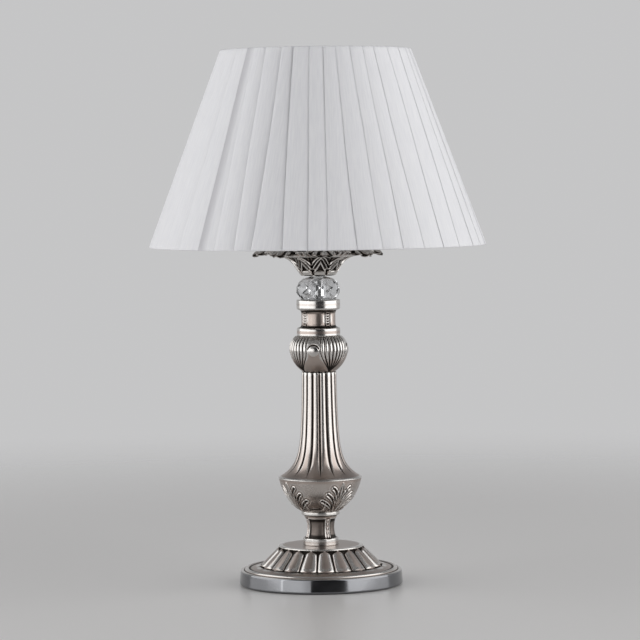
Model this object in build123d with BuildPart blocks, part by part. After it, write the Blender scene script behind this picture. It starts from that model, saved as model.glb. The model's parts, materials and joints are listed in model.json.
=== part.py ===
from build123d import *
import os
from math import cos, exp, radians, sin, sqrt

# Table lamp on a cast stand with a pleated shade.
# Millimetres, +Z up, the origin at the middle of the underside.
# The four-fold ornament of the stand faces -Y.

# Tube and stacking
tube_radius = 5.0
tube_bore_radius = 3.75
tube_play = 0.3
nut_flats = 16.0
nut_height = 5.0
washer_radius = 11.0
washer_thickness = 1.5
tube_overhang = 2.0
casting_wall = 3.0
part_fit = 0.1

# Foot
felt_thickness = 1.6
cover_thickness = 2.0
cover_play = 0.4
felt_inset = 0.6
rim_lift = 0.6
foot_radius = 85.0
foot_wall = 3.5
rim_lip = 1.0
band_top = 15.5
band_round = 3.0
ridge_inset = 7.5
ridge_width = 5.0
ridge_rise = 2.4
moat_rise = 1.2
dome_inset = 21.0
dome_level = 19.5
foot_height = 41.0
dome_run = 20.4
plateau_edge = 2.0
plateau_round = 1.6
plateau_thickness = 5.0
gadroon_count = 20
gadroon_depth = 3.0

# Inside the foot
post_count = 3
post_angle = 30.0
post_inset = 9.5
post_radius = 4.0
screw_radius = 1.5
screw_head_radius = 2.9
screw_head_height = 1.4
screw_length = 8.0
weight_inner_radius = 38.0
weight_play = 4.0
weight_height = 8.0
block_width = 24.0
block_depth = 14.0
block_height = 11.0
block_offset = 20.0
block_hole_spacing = 8.0
block_hole_height = 5.0
block_corner = 1.6
block_screw_radius = 1.6
block_screw_length = 4.0
block_screw_spacing = 7.0
lead_radius = 1.0
lead_spacing = 2.6
lead_end_depth = 3.0
lead_rise_offset = 4.0
lead_bend = 5.0
lead_turn = 5.0

# Cord inlet in the rear of the rim
inlet_height = 8.0
inlet_bore_radius = 2.9
bushing_wall = 0.9
bushing_flange = 1.1
bushing_flange_thickness = 1.5
bushing_play = 0.05

# Neck
neck_height = 35.2
plinth_radius = 18.4
plinth_height = 7.0
neck_end_radius = 16.3
neck_waist_radius = 14.4
neck_cove = 2.6
neck_step_radius = 17.3
neck_step_height = 1.4
neck_step_cove = 2.4
neck_collar_radius = 19.9
neck_collar_height = 3.9
neck_panel_count = 4
neck_panel_half_angle = 36.0
neck_panel_margin = 2.0
neck_panel_depth = 0.9

# Urn bowl
bowl_height = 35.8
bowl_mid_radius = 34.5
bowl_mid_height = 14.2
bowl_floor = 6.0
bell_radius = 43.6
bead_height = 1.4
bead_proud = 0.6

# Reeded column, whose radius falls away from the bell in a steep and a slow part
column_height = 109.4
column_radius = 17.7
bell_slow_flare = 8.0
bell_steep_length = 10.0
bell_slow_length = 40.0
reed_count = 16
reed_depth = 1.5
reed_fade_length = 12.0
column_sections = 9
column_foot_depth = 0.4

# Ribbed knop
knop_height = 37.2
knop_foot_radius = 16.9
knop_radius = 30.4
knop_equator = 22.0
knop_top_radius = 23.7
knop_lower_swell = 3.0
knop_upper_swell = 1.5
knop_upper_lift = 1.5
boss_count = 4
boss_radius = 7.0
boss_proud = 2.6
rib_cuts = 8
rib_start_angle = 17.0
rib_cut_width = 1.0
rib_cut_depth = 1.3
rib_foot_height = 5.5

# Upper spool and its two collars
spool_height = 37.8
lower_collar_radius = 22.5
lower_collar_height = 8.9
collar_round = 2.0
spool_radius = 17.1
spool_cove = 2.4
upper_collar_radius = 22.7
upper_collar_height = 7.6
upper_collar_cove = 3.4
spool_strip_count = 4
spool_strip_angle = 23.0
spool_strip_depth = 0.7

# Crystal bead, cut as tangent planes of a flattened ball
crystal_radius = 22.9
crystal_bulge = 16.2
crystal_height = 28.4
crystal_seat_depth = 4.6
crystal_seat_play = 1.0
crystal_washer_radius = 9.5
crystal_washer_thickness = 0.6
facet_count = 12
facet_rows = (-56.0, -28.0, 0.0, 28.0, 56.0)

# Leaf cup
cup_foot_radius = 17.4
cup_neck_radius = 24.4
cup_neck_height = 11.5
cup_throat_radius = 29.6
cup_throat_height = 17.2
cup_shoulder_radius = 40.0
cup_shoulder_height = 20.0
cup_rim_radius = 68.0
cup_rim_height = 22.8
cup_wall = 1.8
cup_floor = 4.5
leaf_count = 8
leaf_angle = -73.0
leaf_notch_radius = 53.0
leaf_bulge_radius = 63.5
leaf_bulge_share = 0.3

# E27 lampholder
bulb_cap_radius = 13.2
bulb_cap_play = 0.3
shell_thickness = 0.6
insert_wall = 3.0
skirt_wall = 2.6
holder_neck_radius = 9.0
holder_neck_height = 7.0
holder_dome_height = 13.0
holder_wall = 2.0
spigot_height = 6.0
insert_base = 8.0
socket_depth = 22.0
shell_lift = 2.0
flange_width = 4.6
flange_thickness = 3.0
contact_radius = 5.0
contact_base = 0.8
contact_pip_radius = 2.5
contact_pip_height = 1.2
terminal_spacing = 17.0
terminal_screw_radius = 1.6
terminal_screw_offset = 6.0
terminal_screw_length = 5.0
ring_play = 0.3
ring_width = 6.0
ring_height = 8.0
ring_chamfer = 1.0
ring_gap = 0.3

# E27 bulb
tip_gap = 0.2
tip_radius = 4.5
tip_height = 1.8
tip_round = 0.9
insulator_height = 4.0
insulator_top_radius = 11.0
bulb_cap_height = 19.0
bulb_cap_wall = 0.5
housing_height = 28.0
housing_spigot = 6.0
globe_radius = 30.0
globe_drop = 20.0
globe_wall = 1.0
board_radius = 18.0
board_thickness = 1.5

# Shade
shade_bottom_radius = 175.0
shade_top_radius = 99.0
shade_height = 202.9
shade_drop = 1.9
pleat_count = 40
pleat_depth = 3.0
pleat_fold_share = 0.08
fabric_thickness = 1.0
liner_gap = 0.1
liner_thickness = 0.5
ring_wire_radius = 1.5
arm_wire_radius = 1.2
arm_sink = 0.2
arm_count = 3
arm_angle = 90.0
gallery_play = 0.5
gallery_width = 9.6
gallery_thickness = 2.0
gallery_gap = 0.05
arm_overlap = 1.5

# Heights of the stack, from the table up
cover_top = felt_thickness + cover_thickness
bowl_level = foot_height + neck_height
bell_level = bowl_level + bowl_height
knop_level = bell_level + column_height
spool_level = knop_level + knop_height
spool_top = spool_level + spool_height
crystal_level = spool_top - crystal_seat_depth + crystal_washer_thickness
crystal_top = crystal_level + crystal_height
crystal_middle = crystal_level + crystal_height / 2
cup_level = crystal_top + crystal_washer_thickness
cup_floor_level = cup_level + cup_floor
holder_level = cup_floor_level + nut_height
skirt_level = holder_level + holder_neck_height + holder_dome_height
insert_level = skirt_level + spigot_height
seat_level = insert_level + insert_base
socket_top = seat_level + socket_depth
tip_level = seat_level + contact_base + contact_pip_height + tip_gap
insulator_level = tip_level + tip_height
bulb_cap_level = insulator_level + insulator_height
housing_level = bulb_cap_level + bulb_cap_height
globe_level = housing_level + housing_height
gallery_level = skirt_level + flange_thickness + gallery_gap
shade_level = gallery_level - shade_drop
shade_top = shade_level + shade_height
plateau_underside = foot_height - plateau_thickness
lower_nut_level = plateau_underside - washer_thickness - nut_height
tube_bottom = lower_nut_level - tube_overhang
tube_top = holder_level + holder_neck_height

# Radii that follow from the fits
bore_radius = tube_radius + tube_play
cavity_radius = foot_radius - foot_wall
ridge_radius = foot_radius - ridge_inset
dome_radius = foot_radius - dome_inset
plateau_radius = dome_radius - dome_run
post_circle = cavity_radius - post_inset
weight_outer_radius = post_circle - post_radius - weight_play
shell_inner = bulb_cap_radius + bulb_cap_play
shell_outer = shell_inner + shell_thickness
insert_inner = shell_outer + part_fit
insert_outer = insert_inner + insert_wall
skirt_inner = insert_outer + part_fit
skirt_outer = skirt_inner + skirt_wall
flange_radius = skirt_outer + flange_width
gallery_bore = skirt_outer + gallery_play
gallery_radius = gallery_bore + gallery_width
ring_bore = skirt_outer + ring_play
bushing_radius = inlet_bore_radius + bushing_wall
bushing_flange_radius = bushing_radius + bushing_flange
fabric_inner_bottom = shade_bottom_radius - pleat_depth - fabric_thickness
fabric_inner_top = shade_top_radius * (1 - pleat_depth / shade_bottom_radius) - fabric_thickness
liner_outer_bottom = fabric_inner_bottom - liner_gap
liner_outer_top = fabric_inner_top - liner_gap
gallery_top = gallery_level + gallery_thickness
wire_level = gallery_top - ring_wire_radius
ring_level = gallery_top + ring_gap
arm_level = gallery_top - arm_sink - arm_wire_radius
top_wire_level = shade_top - (wire_level - shade_level)

STANDING = (Align.CENTER, Align.CENTER, Align.MIN)


def upright(angle):
    """The plane through the lamp's axis whose own x points outward at this angle."""
    outward = (cos(radians(angle)), sin(radians(angle)), 0)
    across = (sin(radians(angle)), -cos(radians(angle)), 0)
    return Plane(origin=(0, 0, 0), x_dir=outward, z_dir=across)


def polar(radius, angle):
    return (radius * cos(radians(angle)), radius * sin(radians(angle)))


def lobed_outline(level, count, crest, depth, middle_angle):
    """A closed ring of outward arcs, one of them centred on the middle angle."""
    pitch = 360 / count
    with BuildSketch(Plane.XY.offset(level)) as outline:
        with BuildLine():
            for lobe in range(count):
                centre = middle_angle + lobe * pitch
                ThreePointArc(
                    polar(crest - depth, centre - pitch / 2),
                    polar(crest, centre),
                    polar(crest - depth, centre + pitch / 2),
                )
        make_face()
    return outline.sketch.face()


def pleat_outline(level, crest):
    """A saw-tooth ring: each pleat rises steeply at its free fold and sinks slowly under the next one."""
    pitch = 360 / pleat_count
    valley = crest * (1 - pleat_depth / shade_bottom_radius)
    points = []
    for pleat in range(pleat_count):
        points.append(polar(valley, pleat * pitch))
        points.append(polar(crest, (pleat + pleat_fold_share) * pitch))
    with BuildSketch(Plane.XY.offset(level)) as outline:
        with BuildLine():
            Polyline(*points, close=True)
        make_face()
    return outline.sketch.face()


def bell_curve(height):
    """Radius of the reeded column at a height above the bell's edge."""
    steep_flare = bell_radius - column_radius - bell_slow_flare
    steep = steep_flare * exp(-height / bell_steep_length)
    slow = bell_slow_flare * exp(-height / bell_slow_length)
    return column_radius + steep + slow


def crystal_outline(height):
    """Radius of the flattened ball at a height above or below its middle."""
    return crystal_radius * sqrt(1 - (height / crystal_bulge) ** 2)


def shade_wall(height, bottom, top):
    """Radius of a straight shade wall at a height above the shade's lower edge."""
    return bottom + (top - bottom) * height / shade_height


# Foot: a hollow casting with a banded rim, a moat and a gadrooned dome
with BuildPart() as foot_casting:
    with BuildSketch(Plane.XZ):
        with BuildLine():
            ridge_outer = ridge_radius + ridge_width / 2
            ridge_inner = ridge_radius - ridge_width / 2
            band_corner = foot_radius - band_round * (1 - sqrt(0.5))
            band_corner_level = band_top - band_round * (1 - sqrt(0.5))
            Polyline(
                (0, dome_level),
                (0, rim_lift),
                (foot_radius - rim_lip, rim_lift),
                (foot_radius, rim_lift + rim_lip),
                (foot_radius, band_top - band_round),
            )
            ThreePointArc(
                (foot_radius, band_top - band_round),
                (band_corner, band_corner_level),
                (foot_radius - band_round, band_top),
            )
            Line((foot_radius - band_round, band_top), (ridge_outer, band_top))
            ThreePointArc(
                (ridge_outer, band_top),
                (ridge_radius, band_top + ridge_rise),
                (ridge_inner, band_top + moat_rise),
            )
            Polyline((ridge_inner, band_top + moat_rise), (dome_radius, dome_level), (0, dome_level))
        make_face()
    revolve(axis=Axis.Z)
    shoulder = foot_height - plateau_edge
    dome_foot = lobed_outline(dome_level, gadroon_count, dome_radius, gadroon_depth, 0)
    top_depth = gadroon_depth * plateau_radius / dome_radius
    dome_head = lobed_outline(shoulder, gadroon_count, plateau_radius, top_depth, 0)
    loft([dome_foot, dome_head], ruled=True)
    with BuildSketch(Plane.XY.offset(shoulder)):
        Circle(plateau_radius)
    extrude(amount=plateau_edge)
    fillet(foot_casting.faces().sort_by(Axis.Z)[-1].edges(), radius=plateau_round)
    with BuildSketch(Plane.XZ):
        with BuildLine():
            Polyline(
                (0, rim_lift),
                (cavity_radius, rim_lift),
                (cavity_radius, band_top - foot_wall),
                (dome_radius - gadroon_depth - foot_wall, dome_level - foot_wall),
                (plateau_radius - gadroon_depth - foot_wall, plateau_underside),
                (0, plateau_underside),
                close=True,
            )
        make_face()
    revolve(axis=Axis.Z, mode=Mode.SUBTRACT)
    with BuildSketch(Plane.XY.offset(cover_top)):
        with PolarLocations(post_circle, post_count, start_angle=post_angle):
            Circle(post_radius)
    extrude(amount=band_top - foot_wall / 2 - cover_top)
    with BuildSketch(Plane.XY.offset(cover_top)):
        with PolarLocations(post_circle, post_count, start_angle=post_angle):
            Circle(screw_radius)
    extrude(amount=screw_length, mode=Mode.SUBTRACT)
    with BuildSketch(Plane.XY.offset(plateau_underside)):
        Circle(bore_radius)
    extrude(amount=plateau_thickness, mode=Mode.SUBTRACT)
    with BuildSketch(Plane.XZ.offset(-foot_radius)):
        with Locations((0, inlet_height)):
            Circle(bushing_radius + bushing_play)
    extrude(amount=2 * foot_wall, mode=Mode.SUBTRACT)

# Weight ring, bedded on the cover plate
with BuildPart() as weight_ring:
    with BuildSketch(Plane.XY.offset(cover_top)):
        Circle(weight_outer_radius)
        Circle(weight_inner_radius, mode=Mode.SUBTRACT)
    extrude(amount=weight_height)

# Cover plate with countersunk holes, screwed to the posts of the foot
with BuildPart() as bottom_cover:
    with BuildSketch(Plane.XY.offset(felt_thickness)):
        Circle(cavity_radius - cover_play)
    extrude(amount=cover_thickness)
    with Locations((0, 0, felt_thickness)):
        with PolarLocations(post_circle, post_count, start_angle=post_angle):
            Cone(
                screw_head_radius + part_fit,
                screw_radius + part_fit,
                screw_head_height,
                align=STANDING,
                mode=Mode.SUBTRACT,
            )
            Cylinder(screw_radius + part_fit, cover_thickness, align=STANDING, mode=Mode.SUBTRACT)

with BuildPart() as cover_screws:
    with Locations((0, 0, felt_thickness)):
        with PolarLocations(post_circle, post_count, start_angle=post_angle):
            Cone(screw_head_radius, screw_radius - part_fit, screw_head_height, align=STANDING)
            Cylinder(screw_radius - part_fit, screw_length, align=STANDING)

# Felt pad that the lamp stands on
with BuildPart() as felt_pad:
    with BuildSketch(Plane.XY):
        Circle(cavity_radius - cover_play - felt_inset)
    extrude(amount=felt_thickness)

# Bushing for the mains cord, snapped into the rear of the rim
with BuildPart() as cord_bushing:
    with BuildSketch(Plane.XZ.offset(-foot_radius - bushing_flange_thickness)):
        with Locations((0, inlet_height)):
            Circle(bushing_flange_radius)
    extrude(amount=bushing_flange_thickness)
    with BuildSketch(Plane.XZ.offset(-foot_radius)):
        with Locations((0, inlet_height)):
            Circle(bushing_radius)
    extrude(amount=foot_wall + bushing_flange_thickness)
    with BuildSketch(Plane.XZ.offset(-foot_radius - bushing_flange_thickness)):
        with Locations((0, inlet_height)):
            Circle(inlet_bore_radius)
    extrude(amount=foot_wall + 2 * bushing_flange_thickness, mode=Mode.SUBTRACT)

# Terminal block on the cover plate, with a hole for each lead and two clamp screws for each
with BuildPart() as terminal_block:
    with BuildSketch(Plane.XY.offset(cover_top)):
        with Locations((0, block_offset)):
            RectangleRounded(block_width, block_depth, block_corner)
    extrude(amount=block_height)
    with BuildSketch(Plane.XZ.offset(-block_offset)):
        with Locations((0, cover_top + block_hole_height)):
            with GridLocations(block_hole_spacing, 0, 2, 1):
                Circle(lead_radius + part_fit)
    extrude(amount=block_depth, both=True, mode=Mode.SUBTRACT)
    with BuildSketch(Plane.XY.offset(cover_top + block_height)):
        with Locations((0, block_offset)):
            with GridLocations(block_hole_spacing, block_screw_spacing, 2, 2):
                Circle(block_screw_radius + part_fit)
    extrude(amount=-block_screw_length, mode=Mode.SUBTRACT)

with BuildPart() as terminal_block_screws:
    with BuildSketch(Plane.XY.offset(cover_top + block_height)):
        with Locations((0, block_offset)):
            with GridLocations(block_hole_spacing, block_screw_spacing, 2, 2):
                Circle(block_screw_radius)
    extrude(amount=-block_screw_length)

# Threaded tube that clamps the stack, plain in form
with BuildPart() as threaded_tube:
    with BuildSketch(Plane.XY.offset(tube_bottom)):
        Circle(tube_radius)
        Circle(tube_bore_radius, mode=Mode.SUBTRACT)
    extrude(amount=tube_top - tube_bottom)

with BuildPart() as lower_washer:
    with BuildSketch(Plane.XY.offset(plateau_underside - washer_thickness)):
        Circle(washer_radius)
        Circle(bore_radius, mode=Mode.SUBTRACT)
    extrude(amount=washer_thickness)

with BuildPart() as lower_nut:
    with BuildSketch(Plane.XY.offset(lower_nut_level)):
        RegularPolygon(nut_flats / 2, 6, major_radius=False)
        Circle(tube_radius + part_fit, mode=Mode.SUBTRACT)
    extrude(amount=nut_height)

with BuildPart() as cup_nut:
    with BuildSketch(Plane.XY.offset(cup_floor_level)):
        RegularPolygon(nut_flats / 2, 6, major_radius=False)
        Circle(tube_radius + part_fit, mode=Mode.SUBTRACT)
    extrude(amount=nut_height)

# Neck: a waisted spool with four sunk panels, between a plinth and a collar
with BuildPart() as panelled_neck:
    plinth_top = foot_height + plinth_height
    collar_level = bowl_level - neck_collar_height
    step_level = collar_level - neck_step_height
    waist_bottom = plinth_top + neck_cove
    waist_top = step_level - neck_step_cove
    waist_middle = (waist_bottom + waist_top) / 2
    with BuildSketch(Plane.XZ):
        with BuildLine():
            Polyline(
                (bore_radius, foot_height),
                (plinth_radius, foot_height),
                (plinth_radius, plinth_top),
                (neck_end_radius, waist_bottom),
            )
            ThreePointArc(
                (neck_end_radius, waist_bottom),
                (neck_waist_radius, waist_middle),
                (neck_end_radius, waist_top),
            )
            Polyline(
                (neck_end_radius, waist_top),
                (neck_step_radius, step_level),
                (neck_step_radius, collar_level),
                (neck_collar_radius, collar_level),
                (neck_collar_radius, bowl_level),
                (bore_radius, bowl_level),
                (bore_radius, foot_height),
            )
        make_face()
    revolve(axis=Axis.Z)
    panel_bottom = waist_bottom + neck_panel_margin
    panel_top = waist_top - neck_panel_margin
    panel_share = (panel_top - panel_bottom) / (waist_top - waist_bottom)
    panel_end = neck_waist_radius + (neck_end_radius - neck_waist_radius) * panel_share**2
    for panel in range(neck_panel_count):
        with BuildSketch(upright(panel * 360 / neck_panel_count - neck_panel_half_angle)):
            with BuildLine():
                ThreePointArc(
                    (panel_end - neck_panel_depth, panel_bottom),
                    (neck_waist_radius - neck_panel_depth, waist_middle),
                    (panel_end - neck_panel_depth, panel_top),
                )
                Polyline(
                    (panel_end - neck_panel_depth, panel_top),
                    (neck_collar_radius, panel_top),
                    (neck_collar_radius, panel_bottom),
                    (panel_end - neck_panel_depth, panel_bottom),
                )
            make_face()
        revolve(axis=Axis.Z, revolution_arc=2 * neck_panel_half_angle, mode=Mode.SUBTRACT)

# Urn bowl, hollow, with a beaded edge
with BuildPart() as urn_bowl:
    bead_level = bell_level - bead_height
    with BuildSketch(Plane.XZ):
        with BuildLine():
            Line((bore_radius, bowl_level), (neck_collar_radius, bowl_level))
            ThreePointArc(
                (neck_collar_radius, bowl_level),
                (bowl_mid_radius, bowl_level + bowl_mid_height),
                (bell_radius - bead_proud, bead_level),
            )
            ThreePointArc(
                (bell_radius - bead_proud, bead_level),
                (bell_radius, bead_level + bead_height / 2),
                (bell_radius - bead_proud, bell_level),
            )
            Line((bell_radius - bead_proud, bell_level), (bell_radius - casting_wall, bell_level))
            ThreePointArc(
                (bell_radius - casting_wall, bell_level),
                (bowl_mid_radius - casting_wall, bowl_level + bowl_mid_height + casting_wall),
                (neck_collar_radius, bowl_level + bowl_floor),
            )
            Polyline(
                (neck_collar_radius, bowl_level + bowl_floor),
                (bore_radius, bowl_level + bowl_floor),
                (bore_radius, bowl_level),
            )
        make_face()
    revolve(axis=Axis.Z)

# Reeded column: a hollow shaft whose sixteen reeds spread over the bell
with BuildPart() as reeded_column:
    rings = []
    for section in range(column_sections):
        rise = column_height * (section / (column_sections - 1)) ** 2
        fade = 1 - exp(-rise / reed_fade_length)
        depth = column_foot_depth + (reed_depth - column_foot_depth) * fade
        crest = bell_curve(rise) - bead_proud * (1 - fade)
        rings.append(lobed_outline(bell_level + rise, reed_count, crest, depth, 0))
    loft(rings, ruled=True)
    with BuildSketch(Plane.XZ):
        with BuildLine():
            hollow = []
            for section in range(column_sections):
                rise = (column_height - casting_wall) * (section / (column_sections - 1)) ** 2
                hollow.append((bell_curve(rise) - reed_depth - casting_wall, bell_level + rise))
            Polyline(
                (0, bell_level), *hollow, (0, knop_level - casting_wall), close=True
            )
        make_face()
    revolve(axis=Axis.Z, mode=Mode.SUBTRACT)
    with BuildSketch(Plane.XY.offset(knop_level)):
        Circle(bore_radius)
    extrude(amount=-2 * casting_wall, mode=Mode.SUBTRACT)

# Ribbed knop with four bosses and a bundle of ribs between each two
with BuildPart() as ribbed_knop:
    equator_level = knop_level + knop_equator
    lower_bulge = (knop_foot_radius + knop_radius) / 2 + knop_lower_swell
    upper_bulge = (knop_top_radius + knop_radius) / 2 + knop_upper_swell
    upper_bulge_level = (equator_level + spool_level) / 2 + knop_upper_lift
    with BuildSketch(Plane.XZ):
        with BuildLine():
            Line((bore_radius, knop_level), (knop_foot_radius, knop_level))
            ThreePointArc(
                (knop_foot_radius, knop_level),
                (lower_bulge, knop_level + knop_equator / 2),
                (knop_radius, equator_level),
            )
            ThreePointArc(
                (knop_radius, equator_level),
                (upper_bulge, upper_bulge_level),
                (knop_top_radius, spool_level),
            )
            Polyline((knop_top_radius, spool_level), (bore_radius, spool_level), (bore_radius, knop_level))
        make_face()
    revolve(axis=Axis.Z)
    bundle_pitch = 360 / boss_count
    rib_pitch = (bundle_pitch - 2 * rib_start_angle) / (rib_cuts - 1)
    rib_foot_share = 2 * rib_foot_height / knop_equator
    rib_foot_radius = knop_foot_radius + (lower_bulge - knop_foot_radius) * rib_foot_share
    cut_foot = (rib_foot_radius, knop_level + rib_foot_height)
    cut_head = (upper_bulge, upper_bulge_level)
    for bundle in range(boss_count):
        for cut in range(rib_cuts):
            with BuildSketch(upright(bundle * bundle_pitch + rib_start_angle + cut * rib_pitch)):
                with BuildLine():
                    ThreePointArc(cut_foot, (knop_radius - rib_cut_depth, equator_level), cut_head)
                    Polyline(
                        cut_head,
                        (knop_radius + boss_radius, cut_head[1]),
                        (knop_radius + boss_radius, cut_foot[1]),
                        cut_foot,
                    )
                make_face()
    extrude(amount=rib_cut_width / 2, both=True, mode=Mode.SUBTRACT)
    with Locations((0, 0, equator_level)):
        with PolarLocations(knop_radius + boss_proud - boss_radius, boss_count):
            Sphere(boss_radius)
    with BuildSketch(Plane.XY.offset(knop_level)):
        Circle(bore_radius)
    extrude(amount=knop_height, mode=Mode.SUBTRACT)

# Upper spool between two plain collars, with the crystal's seat in its top
with BuildPart() as upper_spool:
    lower_collar_top = spool_level + lower_collar_height
    round_edge = lower_collar_radius - collar_round * (1 - sqrt(0.5))
    round_level = lower_collar_top - collar_round * (1 - sqrt(0.5))
    upper_collar_level = spool_top - upper_collar_height
    cove_level = upper_collar_level - upper_collar_cove
    seat_radius = crystal_outline(spool_top - crystal_middle) + crystal_seat_play
    seat_floor_radius = crystal_outline(crystal_height / 2) + crystal_seat_play
    seat_floor = spool_top - crystal_seat_depth
    with BuildSketch(Plane.XZ):
        with BuildLine():
            Polyline(
                (bore_radius, spool_level),
                (lower_collar_radius, spool_level),
                (lower_collar_radius, lower_collar_top - collar_round),
            )
            ThreePointArc(
                (lower_collar_radius, lower_collar_top - collar_round),
                (round_edge, round_level),
                (lower_collar_radius - collar_round, lower_collar_top),
            )
            Polyline(
                (lower_collar_radius - collar_round, lower_collar_top),
                (spool_radius + spool_cove, lower_collar_top),
                (spool_radius, lower_collar_top + spool_cove),
                (spool_radius, cove_level - spool_cove),
                (spool_radius + spool_cove / 2, cove_level),
                (upper_collar_radius, upper_collar_level),
                (upper_collar_radius, spool_top),
                (seat_radius, spool_top),
                (seat_floor_radius, seat_floor),
                (bore_radius, seat_floor),
                (bore_radius, spool_level),
            )
        make_face()
    revolve(axis=Axis.Z)
    strip_pitch = 360 / spool_strip_count
    for strip in range(spool_strip_count):
        with BuildSketch(upright((strip + 0.5) * strip_pitch - spool_strip_angle / 2)):
            with BuildLine():
                Polyline(
                    (spool_radius - spool_strip_depth, lower_collar_top + 2 * spool_cove),
                    (upper_collar_radius, lower_collar_top + 2 * spool_cove),
                    (upper_collar_radius, cove_level - 2 * spool_cove),
                    (spool_radius - spool_strip_depth, cove_level - 2 * spool_cove),
                    close=True,
                )
            make_face()
        revolve(axis=Axis.Z, revolution_arc=spool_strip_angle, mode=Mode.SUBTRACT)

# Crystal bead, faceted row by row
with BuildPart() as crystal_bead:
    with BuildSketch(Plane.XY.offset(crystal_level)):
        Circle(crystal_radius)
    extrude(amount=crystal_height)
    corner_inset = cos(radians(180 / facet_count))
    for row, latitude in enumerate(facet_rows):
        radius = crystal_radius * corner_inset * cos(radians(latitude))
        rise = crystal_bulge * corner_inset * sin(radians(latitude))
        for facet in range(facet_count):
            turn = (facet + row % 2 / 2) * 360 / facet_count
            across, along = polar(1, turn)
            lean = cos(radians(latitude)) / crystal_radius
            lift = sin(radians(latitude)) / crystal_bulge
            cutter = Plane(
                origin=(radius * across, radius * along, crystal_middle + rise),
                z_dir=(lean * across, lean * along, lift),
            )
            split(bisect_by=cutter, keep=Keep.BOTTOM)
    with BuildSketch(Plane.XY.offset(crystal_level)):
        Circle(bore_radius)
    extrude(amount=crystal_height, mode=Mode.SUBTRACT)

with BuildPart() as crystal_washers:
    with BuildSketch(Plane.XY.offset(crystal_level - crystal_washer_thickness)):
        Circle(crystal_washer_radius)
        Circle(bore_radius, mode=Mode.SUBTRACT)
    extrude(amount=crystal_washer_thickness)
    with BuildSketch(Plane.XY.offset(crystal_top)):
        Circle(crystal_washer_radius)
        Circle(bore_radius, mode=Mode.SUBTRACT)
    extrude(amount=crystal_washer_thickness)

# Leaf cup: a flared dish whose rim is cut into eight leaves
with BuildPart() as leaf_cup:
    neck_level = cup_level + cup_neck_height
    shoulder_level = cup_level + cup_shoulder_height
    rim_level = cup_level + cup_rim_height
    throat_level = cup_level + cup_throat_height
    with BuildSketch(Plane.XZ):
        with BuildLine():
            Polyline((bore_radius, cup_level), (cup_foot_radius, cup_level), (cup_neck_radius, neck_level))
            ThreePointArc(
                (cup_neck_radius, neck_level),
                (cup_throat_radius, throat_level),
                (cup_shoulder_radius, shoulder_level),
            )
            Polyline(
                (cup_shoulder_radius, shoulder_level),
                (cup_rim_radius, rim_level),
                (cup_rim_radius, rim_level + cup_wall),
                (cup_shoulder_radius, shoulder_level + cup_wall),
            )
            ThreePointArc(
                (cup_shoulder_radius, shoulder_level + cup_wall),
                (cup_throat_radius - cup_wall, throat_level + cup_wall),
                (cup_neck_radius - cup_wall, neck_level + cup_wall),
            )
            Polyline(
                (cup_neck_radius - cup_wall, neck_level + cup_wall),
                (cup_foot_radius, cup_floor_level),
                (bore_radius, cup_floor_level),
                (bore_radius, cup_level),
            )
        make_face()
    revolve(axis=Axis.Z)
    leaf_pitch = 360 / leaf_count
    with BuildSketch(Plane.XY.offset(cup_level)):
        with BuildLine():
            for leaf in range(leaf_count):
                tip_angle = leaf_angle + leaf * leaf_pitch
                tip = polar(cup_rim_radius, tip_angle)
                ThreePointArc(
                    polar(leaf_notch_radius, tip_angle - leaf_pitch / 2),
                    polar(leaf_bulge_radius, tip_angle - leaf_pitch * leaf_bulge_share),
                    tip,
                )
                ThreePointArc(
                    tip,
                    polar(leaf_bulge_radius, tip_angle + leaf_pitch * leaf_bulge_share),
                    polar(leaf_notch_radius, tip_angle + leaf_pitch / 2),
                )
        make_face()
    extrude(amount=cup_rim_height + cup_wall, mode=Mode.INTERSECT)

# Lampholder cap, screwed on the top of the tube
with BuildPart() as holder_cap:
    with BuildSketch(Plane.XZ):
        with BuildLine():
            dome_base = holder_level + holder_neck_height
            cap_inner = insert_outer - holder_wall
            dome_middle = (holder_neck_radius + skirt_outer) / 2
            Polyline(
                (tube_radius + part_fit, holder_level),
                (holder_neck_radius, holder_level),
                (holder_neck_radius, dome_base - holder_wall),
            )
            ThreePointArc(
                (holder_neck_radius, dome_base - holder_wall),
                (dome_middle + holder_wall, dome_base + holder_dome_height / 3),
                (skirt_outer, skirt_level),
            )
            Polyline(
                (skirt_outer, skirt_level),
                (insert_outer, skirt_level),
                (insert_outer, insert_level),
                (cap_inner, insert_level),
                (cap_inner, skirt_level),
            )
            ThreePointArc(
                (cap_inner, skirt_level),
                (dome_middle - holder_wall, dome_base + holder_dome_height / 2),
                (tube_radius + part_fit, dome_base),
            )
            Line((tube_radius + part_fit, dome_base), (tube_radius + part_fit, holder_level))
        make_face()
    revolve(axis=Axis.Z)

# Lampholder skirt, whose flange carries the shade
with BuildPart() as holder_skirt:
    with BuildSketch(Plane.XZ):
        with BuildLine():
            Polyline(
                (skirt_inner, skirt_level),
                (flange_radius, skirt_level),
                (flange_radius, skirt_level + flange_thickness),
                (skirt_outer, skirt_level + flange_thickness),
                (skirt_outer, socket_top),
                (skirt_inner, socket_top),
                close=True,
            )
        make_face()
    revolve(axis=Axis.Z)

# Ceramic insert with holes for the leads and the terminal screws
with BuildPart() as holder_insert:
    with BuildSketch(Plane.XZ):
        with BuildLine():
            Polyline(
                (0, insert_level),
                (insert_outer, insert_level),
                (insert_outer, socket_top),
                (insert_inner, socket_top),
                (insert_inner, seat_level),
                (0, seat_level),
                close=True,
            )
        make_face()
    revolve(axis=Axis.Z)
    with BuildSketch(Plane.XY.offset(insert_level)):
        with GridLocations(terminal_spacing, 0, 2, 1):
            Circle(lead_radius + part_fit)
        with Locations((0, terminal_screw_offset)):
            with GridLocations(terminal_spacing, 0, 2, 1):
                Circle(terminal_screw_radius + part_fit)
    extrude(amount=terminal_screw_length, mode=Mode.SUBTRACT)

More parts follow.
